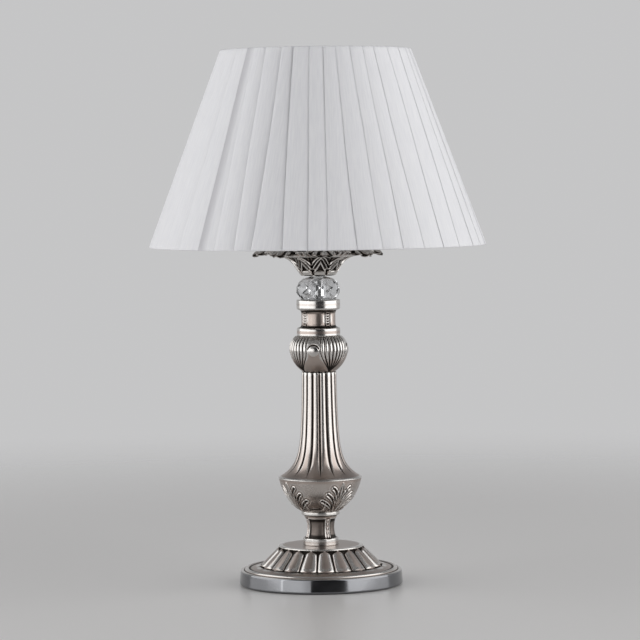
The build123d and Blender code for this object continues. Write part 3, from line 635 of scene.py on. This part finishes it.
def column_relief(turn, radius, level):
    pitch = 2 * np.pi * radius / reed_count
    from_crease = (0.5 - in_pattern(turn, reed_count) * reed_count / 360) * pitch
    fade = ease(radius, reed_fade_start, reed_fade_end)
    half_groove = pitch / 2 * (1 - fade) ** 1.3 + 1e-6
    depth = reed_depth * (1 - fade) ** 0.5
    return -depth * cusp(1 - from_crease / half_groove)


def column_stain(turn, radius, level):
    beside = in_pattern(turn, reed_count) * reed_count / 360
    groove = 0.5 - groove_half_share * (1 - ease(radius, reed_fade_start - 4, reed_fade_end))
    in_groove = ease(beside, groove - 0.1, groove + 0.08)
    return reed_stain * in_groove * ease(radius, reed_fade_end, reed_fade_end - 3)


def make_column():
    height = np.linspace(0, column_top - column_low, 120)
    steep = (bowl_radius - column_radius - bell_slow_flare) * np.exp(-height / bell_steep_length)
    slow = bell_slow_flare * np.exp(-height / bell_slow_length)
    radius = column_radius + steep + slow - bowl_bead_proud * np.exp(-height / bell_steep_length)
    side = np.stack([radius, column_low + height], axis=1)
    shell = (side - [reed_depth + casting_wall, 0])[::-1]
    inner = joined([(bore, column_top - casting_wall)], shell[shell[:, 1] < column_top - casting_wall])
    outer = joined([(radius[0] - casting_wall, column_low)], side, [(bore, column_top)])
    casting("column", "reeded_column", outer, inner, column_relief, column_stain, (5, 8))


# Ribbed knop: four bosses on plain tongues, and a bundle of ribs between each two
knop_foot_radius = 16.9
knop_radius = 30.4
knop_equator = 22.0
knop_crown_radius = 24.6
knop_lower_bulge = 26.65
knop_upper_bulge = (28.9, 9.1)
boss_radius = 5.8
boss_proud = 0.8
boss_lift = 1.2
boss_lower_stretch = 0.85
boss_moat_depth = 0.9
rib_count = 7
rib_depth = 1.9
bundle_turn = 45.0
bundle_half_angle = 31.0
crease_stain = 0.45
# Painted shade on the knop's lower half, on its ribs and on its plain tongues
low_rib_painted_shade = 0.6
low_tongue_painted_shade = 0.23


def knop_bundles(turn, height):
    """Angle from a bundle, its half angle there, place on a rib (1 in the crease), and whether in it."""
    from_bundle = in_pattern(turn, 4, bundle_turn)
    spread = bundle_half_angle * np.sin(np.pi / 2 * np.clip(height / knop_equator, 0.02, 1)) ** 0.9
    place = np.clip(from_bundle / spread, 0, 1)
    rib = 2 * np.abs((place * rib_count / 2 + 0.5) % 1 - 0.5)
    return from_bundle, spread, rib, window(from_bundle / spread, -2, 1.0, 0.04)


def knop_relief(turn, radius, level):
    height = level - knop_low
    from_bundle, spread, rib, in_bundle = knop_bundles(turn, height)
    in_bundle = in_bundle * (radius > knop_foot_radius - 1)
    ribs = -rib_depth * (spread / bundle_half_angle) ** 0.6 * cusp(rib) * in_bundle
    across = np.radians(45 - from_bundle) * radius
    over_boss = height - knop_equator - boss_lift
    from_boss = np.hypot(across, np.where(over_boss > 0, over_boss, boss_lower_stretch * over_boss))
    boss = boss_proud * np.clip(1 - (from_boss / boss_radius) ** 2, 0, 1) ** 0.8
    moat = -boss_moat_depth * hill(from_boss, boss_radius + 0.4, 0.7) * ease(over_boss, 0.0, 3.0)
    clear_of_boss = ease(from_boss, boss_radius - 0.5, boss_radius + 0.6)
    return ribs * clear_of_boss + boss + moat


def knop_stain_and_shade(turn, radius, level):
    height = level - knop_low
    _, _, rib, in_bundle = knop_bundles(turn, height)
    # Darker towards the bottom: painted shade
    low = ease(height, knop_equator, 0.2 * knop_equator)
    ribs = crease_stain * ease(rib, 0.5, 0.95) + low_rib_painted_shade * low
    return ribs * in_bundle + low_tongue_painted_shade * low * (1 - in_bundle)


def make_knop():
    equator = (knop_radius, knop_low + knop_equator)
    lower_bulge = (knop_lower_bulge, knop_low + knop_equator / 2)
    upper_bulge = (knop_upper_bulge[0], equator[1] + knop_upper_bulge[1])
    outer = joined(
        [(bore, knop_low), (knop_foot_radius - 0.4, knop_low)],
        arc((knop_foot_radius, knop_low + 0.3), lower_bulge, equator),
        arc(equator, upper_bulge, (knop_crown_radius, knop_top - 0.3)),
        [(knop_crown_radius - 0.5, knop_top), (bore, knop_top)],
    )
    inner = [(bore, knop_top - 1), (bore, knop_low + 1)]
    casting("knop", "ribbed_knop", outer, inner, knop_relief, knop_stain_and_shade, (5, 6))


# Upper spool: two polished collars, four plain swelling panels and four beaded strips
lower_collar_radius = 22.5
lower_collar_height = 8.9
spool_radius = 17.1
upper_collar_height = 9.8
spool_waist_low = spool_low + lower_collar_height
spool_waist_high = spool_top - upper_collar_height
spool_panel_half_angle = 33.5
spool_panel_swell = 0.6
bead_pitch = 2.6
bead_height = 0.45
seat_mouth_radius = 19.0
seat_radius = 12.2
seat_depth = 4.6
collar_stains = (0.05, -0.04)


def spool_relief(turn, radius, level):
    side = in_pattern(turn, 4)
    on_level = window(level, spool_waist_low + 2.0, spool_waist_high - 2.0, 1.2)
    on_spool = on_level * (radius < spool_radius + 2.6) * (radius > spool_radius - 3)
    panel = window(side, -90, spool_panel_half_angle, 2.0)
    swell = spool_panel_swell * (1 - (side / spool_panel_half_angle) ** 2) * panel
    groove = -0.6 * hill(side, spool_panel_half_angle, 1.3)
    strip = (1 - panel) * (bead_height * np.cos(2 * np.pi * level / bead_pitch) * hill(side, 45, 5.0) - 0.25)
    stems = 0.4 * hill(side, 38.5, 1.2)
    return (swell + groove + strip + stems) * on_spool


def spool_stain(turn, radius, level):
    upper = ease(level, spool_low + 12, spool_low + 16)
    return between(collar_stains, upper) * ease(radius, spool_radius + 0.4, spool_radius + 2.6)


def make_spool():
    outer = rounded([
        (bore, spool_low, 0),
        (lower_collar_radius - 0.4, spool_low, 0.3),
        (lower_collar_radius, spool_low + 0.8, 0.5),
        (lower_collar_radius, spool_waist_low, 2.2),
        (spool_radius + 2.2, spool_waist_low + 0.1, 0.5),
        (spool_radius, spool_waist_low + 2.6, 2.2),
        (spool_radius, spool_waist_high - 3.2, 2.0),
        (spool_radius + 1.6, spool_waist_high - 1.4, 0.6),
        (upper_collar_radius - 0.8, spool_waist_high - 0.2, 0.5),
        (upper_collar_radius, spool_waist_high + 0.8, 0.6),
        (upper_collar_radius, spool_top, 1.0),
        (seat_mouth_radius, spool_top, 0.4),
        (seat_radius, spool_top - seat_depth, 0.3),
        (bore, spool_top - seat_depth, 0),
    ])
    inner = [(bore, spool_top - 6), (bore, spool_low + 1)]
    casting("spool", "upper_spool", outer, inner, spool_relief, spool_stain, (4, 5), 600)


# Leaf cup: pointed arches round its neck, chevrons above them and a rim of eight lobed leaves
cup_foot_radius = 17.4
cup_neck = (24.4, cup_low + 11.5)
cup_throat = (29.6, cup_low + 17.2)
cup_shoulder = (40.0, cup_low + 20.0)
cup_crest_level = cup_low + 26.4
cup_crest_reach = 15
cup_rim_radius = 68.0
cup_notch_radius = 53.0
cup_wall = 1.8
cup_edge = 1.0
cup_floor = 4.5
leaf_count = 8
leaf_first = 17.0
leaf_half_pitch = 180 / leaf_count
leaf_droop = 6.0
arch_slope = 2.1
arch_foot_height = 5.4
arch_half_width = 5.6
arch_reach = 18.0
chevron_pitch = 7.0
chevron_half_width = 1.7
# Side lobes of each half leaf: where they lie from its middle (0) to the gap beside it (1)
side_lobes = (0.46, 0.80)
lobe_notches = (0.26, 0.64)
notch_depths = (4.0, 5.0)
leaf_rows = 40
cup_recess_reach = (4, 6)
cup_hollow_stain = 0.45
under_edge_polish = 0.3
over_edge_polish = 0.2


def cup_neck_relief(turn, radius, climb):
    """Arches and chevrons; climb is the distance up the wall from its foot."""
    beside = np.radians(in_pattern(turn, leaf_count, leaf_first)) * radius
    to_gap = np.radians(leaf_half_pitch) * radius - beside
    reach = climb + arch_slope * beside
    above_foot = ease(climb, arch_foot_height - 0.5, arch_foot_height + 0.3)
    foot = 0.8 * window(beside, -9, arch_half_width, 0.8) * window(climb, 0.6, arch_foot_height, 0.8)
    frame_line = window(reach, arch_reach - 3.6, arch_reach, 0.8) * above_foot
    hollow = -1.3 * window(reach, -9, arch_reach - 4.0, 0.8) * ease(climb, 5.8, 6.6)
    ridges = hill(reach, arch_reach + chevron_pitch, chevron_half_width)
    ridges = ridges + 0.8 * hill(reach, arch_reach + 2 * chevron_pitch, chevron_half_width)
    chevrons = (1.9 * ridges - 0.6) * ease(reach, arch_reach + 0.4, arch_reach + 1.6)
    gap = -1.4 * hill(to_gap, 0, 0.9)
    dot = hill(np.hypot(to_gap - 2.2, climb - 8.0), 0, 1.1)
    return (foot + frame_line + hollow + chevrons + gap + dot) * ease(climb, 0.0, 0.8)


def cup_leaf(across, share, radius):
    """Height of the leafy rim over its flat cone, and the veins under it."""
    to_mm = np.radians(leaf_half_pitch) * radius
    droop = -leaf_droop * share**4 * (1 - across**2)
    veins = 1.1 * hill(across * to_mm, 0, 0.9)
    for lobe in side_lobes:
        veins = veins + hill((across - lobe * share**0.7) * to_mm, 0, 0.8)
    for notch in lobe_notches:
        veins = veins - 1.3 * hill((across - notch * share**0.7) * to_mm, 0, 0.9)
    ripple = 0.8 * share * np.cos(2 * np.pi * across * 2.6)
    return droop + ripple, veins


def leaf_edge(across):
    """Radius of the rim's lobed edge."""
    edge = cup_rim_radius - (cup_rim_radius - cup_notch_radius) * across**1.9
    for notch, depth in zip(lobe_notches, notch_depths):
        edge = edge - depth * hill(across, notch, 0.055)
    return edge


def make_cup():
    turn = turns(fine_columns)
    foot = np.array([(bore, cup_low), (cup_foot_radius - 0.3, cup_low)])
    wall = joined([(cup_foot_radius, cup_low + 0.3)], arc(cup_neck, cup_throat, cup_shoulder))
    wall = spaced(wall, profile_step)
    climb = distance_along(wall)[:, None]
    normal = normals_of(wall)
    height = cup_neck_relief(turn, wall[:, :1], climb) * ease(climb, climb[-1], climb[-1] - 5)
    skin = raised(turn, wall, normal, height)
    share = np.linspace(0, 1, leaf_rows)[:, None]
    across = in_pattern(turn, leaf_count, leaf_first) / leaf_half_pitch
    rim_radius = between((cup_shoulder[0], leaf_edge(across)), share)
    rise = np.sin(np.pi / 2 * np.clip((rim_radius - cup_shoulder[0]) / cup_crest_reach, 0, 1))
    cone = between((cup_shoulder[1], cup_crest_level), rise)
    form, veins = cup_leaf(across, share, rim_radius)
    veins = veins * (ease(share, 0.0, 0.2) * ease(share, 1.0, 0.9))
    under = placed(turn, rim_radius, cone + form - veins)
    over = placed(turn, rim_radius, cone + form + between((cup_wall, cup_edge), share) + veins)
    lining = spaced([
        (cup_shoulder[0], cup_shoulder[1] + cup_wall),
        (cup_throat[0] - cup_wall, cup_throat[1] + cup_wall),
        (cup_neck[0] - cup_wall, cup_neck[1] + cup_wall),
        (cup_foot_radius, cup_low + cup_floor),
        (bore, cup_low + cup_floor),
    ], 2 * profile_step)[1:]
    outside = np.concatenate([skin, under])
    down = placed(turn, 0 * rim_radius, -1.0)
    recess = recess_of(outside, np.concatenate([swept(turn, normal), down]), cup_recess_reach)
    recess = recess - cup_hollow_stain * np.clip(np.concatenate([height, veins]), -1, 0)
    recess[len(skin):] -= under_edge_polish * ease(share, 0.82, 0.97)
    rim_recess = recess_of(over, -down, cup_recess_reach) - cup_hollow_stain * np.clip(veins, -1, 0)
    rim_recess -= over_edge_polish * ease(share, 0.85, 0.97)
    points = np.concatenate([swept(turn, foot), outside, over[::-1], swept(turn, lining)])
    recess = np.concatenate([recess, rim_recess[::-1]])
    values = {"recess": np.pad(recess, ((len(foot), len(lining)), (0, 0)))}
    piece = grid_piece("leaf_cup_fine", points, values, "stand", silver, True)
    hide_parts("leaf_cup")


# Crystal bead: rows of points round a flattened ball, each row turned by half a step, as flat facets
crystal_bulge = 16.2
crystal_facets = 10
crystal_latitudes = (-47.0, -29.0, -10.0, 10.0, 29.0, 47.0)
crystal_bore = 5.6
crystal_spread = 1.045
# Grey tint, darker than clear crystal: painted shade for the darker surround seen through the glass
crystal_shaded_tone = (0.74, 0.745, 0.755)
crystal_ior = 1.66


def make_crystal():
    low, high, radius = span("crystal_bead")
    middle = (low + high) / 2
    turn = turns(crystal_facets)
    rows = [placed(turn, crystal_bore, low)]
    for row, latitude in enumerate(crystal_latitudes):
        level = np.clip(middle + crystal_bulge * sin(radians(latitude)), low, high)
        across = crystal_spread * radius * cos(radians(latitude))
        rows.append(placed(turn + row % 2 * 180 / crystal_facets, across, level))
    rows.append(placed(turn, crystal_bore, high))
    glass = clear("crystal", crystal_shaded_tone, crystal_ior, 0.0)
    piece = grid_piece("crystal_bead_fine", np.concatenate(rows), {}, "stand", glass, True)
    shape = bmesh.new()
    shape.from_mesh(piece.data)
    bmesh.ops.triangulate(shape, faces=shape.faces, quad_method="SHORT_EDGE")
    bmesh.ops.recalc_face_normals(shape, faces=shape.faces)
    for face in shape.faces:
        face.smooth = False
    shape.to_mesh(piece.data)
    shape.free()
    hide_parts("crystal_bead")


# Shade: one strip of satin in knife pleats, each free fold facing left over the pleat before it
shade_top_radius = 99.0
shade_slant = np.hypot(shade_top - shade_low, shade_bottom_radius - shade_top_radius)
# A pair of values is for the bottom and the top of the shade
cloth_per_pleat = 33.0
pleat_count = 40
pleat_rise = (1.2, 0.85)
pleat_swell = (0.5, 0.3)
fold_share = 0.4
least_underlay = 1.0
hem_depth = 9.0
hem_inset = 3.1
seam_depth = (2.9, 2.0)
seam_reach = (8.5, 7.0)
seam_fade = 3
pleat_room = (3.4, 2.2)
bend_points = 7
run_points = 3
face_points = 16
# Pleats that stand up more or lie flatter: degrees from the viewer's side, and by what share
raised_pleats = (-42, -10)
raised_share = 1.5
flat_pleats = (8, 120)
flat_share = 0.5
# Folds as degrees from the viewer's side at the bottom and top edges; the other folds are even
seen_folds = (
    (-43.1, -43.6), (-36.3, -38.3), (-28.0, -30.0), (-21.9, -19.0), (-11.2, -12.5), (-2.7, -3.5), (3.3, 4.8),
    (13.0, 11.8), (22.0, 20.4), (29.3, 28.8), (37.6, 36.1), (46.5, 47.3), (55.1, 58.8),
)


def pleat_folds():
    """Turn of each free fold at the bottom and at the top, with the first one again at the end."""
    folds = np.array(seen_folds)
    others = pleat_count - len(folds)
    first, last = folds[0] + 360, folds[-1]
    step = np.arange(1, others + 1)[:, None]
    even = last + (first - last) * step / (others + 1)
    uneven = 0.8 * np.sin(step * [2.3, 1.7] + [0, 1])
    return np.concatenate([folds, even + uneven, folds[:1] + 360]) + view_turn


def bend(middle, radius, low, high):
    """Points round a fold, from one angle to another, measured from the way along the cloth."""
    return circle(middle, radius, np.radians(np.linspace(low, high, bend_points)))


def run_of(start, end, depth):
    """A flat run of cloth at one depth, without its end points."""
    places = np.linspace(start, end, run_points + 2)[1:-1]
    return np.stack([places, np.full(run_points, -depth)], axis=1)


def face_shares():
    """Places across the face of a pleat, closer together at its ends."""
    return (1 - np.cos(np.linspace(0, np.pi, face_points))) / 2


def pleat_line(width, underlay, rise, swell, sunk):
    """One pleat as (along, depth) points, from its free fold over its face and back under the next.

    Its face starts and ends as far down as the sunk pair says.
    """
    nose = fold_share * rise
    gap = rise / 2 - nose
    share = face_shares()
    depth = between(sunk, share) + rise * share**2 - swell * 4 * share * (1 - share)
    face = np.stack([width * share, -depth], axis=1)
    low = sunk[1] + rise
    under = [
        run_of(width, width + underlay, low),
        bend((width + underlay, gap - low), gap, -90, 90),
        run_of(width + underlay, width, sunk[1] + 2 * nose),
    ]
    return np.concatenate([bend((0, -sunk[0] - nose), nose, 270, 90), face[1:], *under])


def seam_pleat(line, depth, reach):
    """The pleat after the stitched seam: without a free fold, its face falls away steeply and levels out."""
    face = line[bend_points:].copy()
    face[:, 1] += depth * np.clip(1 - face[:, 0] / reach, 0, 1) ** 2
    return np.concatenate([[(0, 0)], face])


def end_pleat(width, swell):
    """The flat pleat before the stitched seam."""
    share = face_shares()
    return np.stack([width * share, swell * 4 * share * (1 - share)], axis=1)[:-1]


def shade_rows():
    """Rows from the hem inside the bottom to the hem inside the top: height share, pleat share and inset."""
    hem = hem_depth / shade_slant
    edge = 1.2 / shade_slant
    turned = [
        (hem, 0.05, hem_inset), (edge, 0.1, hem_inset), (edge / 4, 0.2, 0.85 * hem_inset),
        (0, 0.5, 1.4), (edge / 4, 0.8, 0.45), (edge, 0.95, 0.1),
    ]
    middle = [(share, 1.0, 0.0) for share in np.linspace(3 * edge, 1 - 3 * edge, 56)]
    return turned + middle + [(1 - share, pleats, inset) for share, pleats, inset in turned[::-1]]


def shade_row(folds, share, pleats, inset):
    """One row: its (turn, radius, level) points, their places across the cloth and the painted shadow beside
    the seam.
    """
    crest = between((shade_bottom_radius, shade_top_radius), share) - pleat_swell[0]
    level = between((shade_low, shade_top), share)
    order = np.arange(pleat_count)
    sway = 0.35 * np.sin(order * 2.1 + share * 5.0) + 0.2 * np.sin(order * 4.7 - share * 9.0)
    angle = between(folds.T, share) + np.degrees(np.append(sway, sway[0]) / crest)
    width = np.radians(np.diff(angle)) * crest
    underlay = np.clip((cloth_per_pleat - width) / 2, least_underlay, 0.85 * width)
    swell = between(pleat_swell, share)
    seam = between(seam_depth, share)
    reach = between(seam_reach, share)
    line, cloth, seam_shadow = [], [], []
    for pleat in range(pleat_count):
        middle = (folds[pleat].mean() + folds[pleat + 1].mean()) / 2 - view_turn
        up = raised_share * window(middle, *raised_pleats, 12)
        lifted = 1 + up - flat_share * window(middle, *flat_pleats, 12)
        loose = between(pleat_rise, share) * lifted * (1 + 0.12 * np.sin(pleat * 3.3 + share * 4.0))
        sunk = seam * ease(np.array([pleat, pleat + 1]), seam_fade, 0)
        rise = min(loose, between(pleat_room, share) - sunk[1])
        points = pleat_line(width[pleat], underlay[pleat], rise, swell * (pleat > 0), sunk)
        if pleat == 0:
            points = seam_pleat(points, seam, reach)
        if pleat == pleat_count - 1:
            points = end_pleat(width[pleat], swell)
        turn = angle[pleat] + np.degrees(points[:, 0] / crest)
        radius = crest + pleats * points[:, 1] - inset
        line.append(np.stack([turn, radius, np.full(len(turn), level)], axis=1))
        cloth.append(pleat * cloth_per_pleat + distance_along(points))
        # Painted shadow beside the seam, darkest at the lapped edge and fading over its reach
        seam_shadow.append(np.clip(1 - points[:, 0] / reach, 0, 1) ** 0.7 * (pleat == 0))
    return np.concatenate(line), np.concatenate(cloth), np.concatenate(seam_shadow)


def make_shade():
    folds = pleat_folds()
    rows, cloth, seam_shadow = (np.array(part) for part in zip(*[shade_row(folds, *row) for row in shade_rows()]))
    points = placed(rows[:, :, 0], rows[:, :, 1], rows[:, :, 2])
    down = np.cumsum(np.linalg.norm(np.diff(points, axis=0, prepend=points[:1]), axis=2), axis=0)
    values = {"cloth_across": cloth, "cloth_down": down, "seam_shadow": seam_shadow}
    piece = grid_piece("pleated_fabric", points, values, "shade", satin(), False)
    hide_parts("shade_fabric")


# Felt under the foot
nap_height = 0.06


def make_felt():
    edge = 0.5 * (felt_top - felt_low)
    rim = [(felt_radius, level, edge) for level in (felt_low, felt_top)]
    profile = spaced(rounded([(0.01, felt_low, 0), *rim, (0.01, felt_top, 0)]), 1.5)
    radius, level = profile[:, :1], profile[:, 1:]
    turn = turns(240)
    nap = nap_height * np.sin(turn * 0.55 * radius) * np.sin(radius * 2.1) * (level < felt_top - 0.1)
    points = placed(turn, radius, level + np.abs(nap))
    piece = grid_piece("felt", points, {}, "stand", felt_finish(), False)
    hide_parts("felt_pad")


# Finishes of the cloth, glass and inner pieces
satin_tones = ((0.77, 0.77, 0.795), (0.82, 0.82, 0.835))
# Darker cloth tone for the painted shadow beside the seam
seam_shadow_tone = (0.66, 0.655, 0.68)
weave_rate = 12.0


def satin():
    """White satin: fine weave, long slubs down the cloth, a soft sheen, and a painted shadow darkening the
    cloth beside the seam.
    """
    material, tree, shader = new_material("white_satin", (0.8, 0.8, 0.82), 0.55)
    across = attribute(tree, "cloth_across")
    down = attribute(tree, "cloth_down")
    thread = add_node(tree, "CombineXYZ", _0=across, _1=calc("MULTIPLY", down, 0.06)).outputs[0]
    slub = add_node(tree, "TexNoise", Vector=thread, Scale=0.7, Detail=4.0).outputs[0]
    tone = mixed(clouded(slub), *satin_tones)
    # Painted shadow: cloth darkened beside the seam
    tone = mixed(attribute(tree, "seam_shadow"), tone, seam_shadow_tone)
    link(tone, shader.inputs["Base Color"])
    link(clouded(slub, 0.5, 0.62), shader.inputs["Roughness"])
    warp, weft = (calc("SINE", calc("MULTIPLY", way, weave_rate), 0.0) for way in (across, down))
    weave = calc("MULTIPLY", calc("MULTIPLY", warp, weft), 0.25)
    add_bump(shader, calc("ADD", weave, slub), 0.00025, 0.5)
    shader.inputs["Sheen Weight"].default_value = 0.15
    shader.inputs["Sheen Roughness"].default_value = 0.4
    return material


def felt_finish():
    """Dark felt with matted fibres."""
    tones = ((0.012, 0.012, 0.013), (0.03, 0.03, 0.032))
    material, shader = mottled("dark_felt", *tones, 180, 0.95, 0.0, 0.0004)
    shader.inputs["Sheen Weight"].default_value = 0.4
    return material


def clear(name, colour, ior, roughness):
    """A clear solid with very slight unevenness in its polish."""
    material, tree, shader = new_material(name, colour, roughness)
    shader.inputs["Transmission Weight"].default_value = 1.0
    shader.inputs["IOR"].default_value = ior
    link(clouded(noise(tree, 90, 3), roughness, roughness + 0.02), shader.inputs["Roughness"])
    return material


# Solids shown as they are, by slot: dark and light tone, clouds in a metre, roughness, metallic and grain
inner_looks = {
    "cast_iron": ((0.03, 0.03, 0.032), (0.075, 0.072, 0.07), 120, 0.7, 0.6, 3e-4),
    "zinc_plated_steel": ((0.5, 0.5, 0.49), (0.66, 0.67, 0.68), 150, 0.34, 1.0, 4e-5),
    "black_plastic": ((0.012, 0.012, 0.012), (0.024, 0.024, 0.025), 90, 0.4, 0.0, 5e-5),
    "white_plastic": ((0.74, 0.74, 0.73), (0.82, 0.82, 0.81), 70, 0.4, 0.0, 4e-5),
    "brass": ((0.6, 0.43, 0.17), (0.78, 0.6, 0.28), 160, 0.28, 1.0, 4e-5),
    "white_ceramic": ((0.78, 0.77, 0.74), (0.86, 0.855, 0.84), 60, 0.22, 0.0, 3e-5),
    "brown_insulation": ((0.1, 0.04, 0.018), (0.16, 0.07, 0.03), 80, 0.45, 0.0, 3e-5),
    "blue_insulation": ((0.02, 0.07, 0.3), (0.035, 0.11, 0.42), 80, 0.45, 0.0, 3e-5),
    "black_glass": ((0.008, 0.008, 0.008), (0.02, 0.02, 0.02), 120, 0.08, 0.0, 2e-5),
    "nickel_plate": ((0.62, 0.6, 0.55), (0.75, 0.73, 0.68), 140, 0.22, 1.0, 4e-5),
    "white_board": ((0.7, 0.71, 0.7), (0.8, 0.81, 0.8), 110, 0.5, 0.0, 4e-5),
    "opal_plastic": ((0.8, 0.8, 0.79), (0.86, 0.86, 0.85), 40, 0.3, 0.0, 2e-5),
    "white_liner": ((0.76, 0.76, 0.76), (0.83, 0.83, 0.83), 50, 0.6, 0.0, 6e-5),
    "white_wire": ((0.74, 0.74, 0.73), (0.82, 0.82, 0.81), 130, 0.4, 0.0, 5e-5),
}


def dress_solids():
    """Gives each solid that is shown as it is the finish of its slot."""
    finishes = {slot: mottled(slot, *look)[0] for slot, look in inner_looks.items()}
    finishes["clear_plastic"] = clear("clear_plastic", (0.96, 0.96, 0.96), 1.46, 0.08)
    for subpart in frame["record"]["subparts"]:
        if subpart["material_slot"] in finishes:
            materials = frame["nodes"][subpart["node"]].data.materials
            materials.clear()
            materials.append(finishes[subpart["material_slot"]])


make_foot()
make_neck()
make_bowl()
make_column()
make_knop()
make_spool()
make_cup()
make_crystal()
make_shade()
make_felt()
dress_solids()

# Floor, in metres, with the reach where it has faded out and where it is whole
floor_half = 2.0
floor_tone = (0.66, 0.65, 0.64)
floor_fade = (1.8, 0.5)
floor_signs = ((-1, -1), (1, -1), (1, 1), (-1, 1))


def make_floor():
    mesh = bpy.data.meshes.new("floor")
    mesh.from_pydata([(x * floor_half, y * floor_half, 0) for x, y in floor_signs], [], [(0, 1, 2, 3)])
    material, tree, shader = new_material("floor", floor_tone, 0.3)
    place = add_node(tree, "TexCoord").outputs["Object"]
    reach = add_node(tree, "VectorMath", {"operation": "LENGTH"}, _0=place).outputs["Value"]
    link(ramp(reach, *floor_fade), shader.inputs["Alpha"])
    mesh.materials.append(material)
    floor = add_object("floor", mesh)


make_floor()

# Light: a pale surround with a dark flag on the viewer's side, unseen by the camera itself, and soft lights
pale_tone = (0.56, 0.56, 0.565)
upper_tone = (0.20, 0.20, 0.205)
flag_tone = (0.03, 0.03, 0.032)
flag_turn = 6
flag_height = 0.08
flag_angles = (36, 22)
light_distance = 1.9
light_aim = Vector((0, 0, 0.3))
# Each light: degrees from the viewer's side, height, width and length in metres, and power in watts
lights = {
    "left_light": (-86, 1.0, 2.7, 2.3, 27),
    "front_left_light": (-36, 0.35, 1.5, 0.8, 4.6),
    "right_light": (72, 1.0, 3.2, 2.3, 38.5),
}


def viewed(turn, distance, height):
    """A place so far out and so high, at a turn from the viewer's side."""
    angle = radians(view_turn + turn)
    return Vector((distance * sin(angle), -distance * cos(angle), height))


surround = bpy.data.worlds.new("surround")
bpy.context.scene.world = surround
surround.use_nodes = True
sky_tree = surround.node_tree
backdrop = sky_tree.nodes["Background"]
way = add_node(sky_tree, "TexCoord").outputs["Generated"]
flag_way = viewed(flag_turn, 1, flag_height)
facing = add_node(sky_tree, "VectorMath", {"operation": "DOT_PRODUCT"}, _0=way, _1=flag_way)
flag = ramp(facing.outputs["Value"], *[cos(radians(angle)) for angle in flag_angles])
climb = add_node(sky_tree, "SeparateXYZ", _0=way).outputs["Z"]
sky = mixed(ramp(climb, 0.1, 0.7), pale_tone, upper_tone)
flagged = mixed(flag, sky, flag_tone)
seen = add_node(sky_tree, "LightPath").outputs["Is Camera Ray"]
link(mixed(seen, flagged, pale_tone), backdrop.inputs["Color"])
backdrop.inputs["Strength"].default_value = 1.0

for name, (turn, height, width, length, power) in lights.items():
    light = bpy.data.lights.new(name, "AREA")
    light.shape = "RECTANGLE"
    light.size = width
    light.size_y = length
    light.energy = power
    soft_light = add_object(name, light)
    soft_light.visible_camera = False
    soft_light.location = viewed(turn, light_distance, height)
    soft_light.rotation_euler = (light_aim - soft_light.location).to_track_quat("-Z", "Y").to_euler()

# Camera at the photograph's angle, in metres, with millimetres for the lens and degrees for the roll
camera_height = 0.440
camera_distance = 3.1
camera_lens = 168.2
camera_aim = Vector((0.0016, 0.0003, 0.2750))
camera_roll = -0.64
sensor_width = 36
camera_data = bpy.data.cameras.new("camera")
camera_data.lens = camera_lens
camera_data.sensor_width = sensor_width
camera = add_object("camera", camera_data)
camera.location = viewed(0, 1, 0) * camera_distance + Vector((0, 0, camera_height))
aim = (camera_aim - camera.location).to_track_quat("-Z", "Y")
camera.rotation_euler = (aim.to_matrix() @ Matrix.Rotation(radians(camera_roll), 3, "Z")).to_euler()
bpy.context.scene.camera = camera
bpy.context.scene.view_settings.view_transform = "Standard"
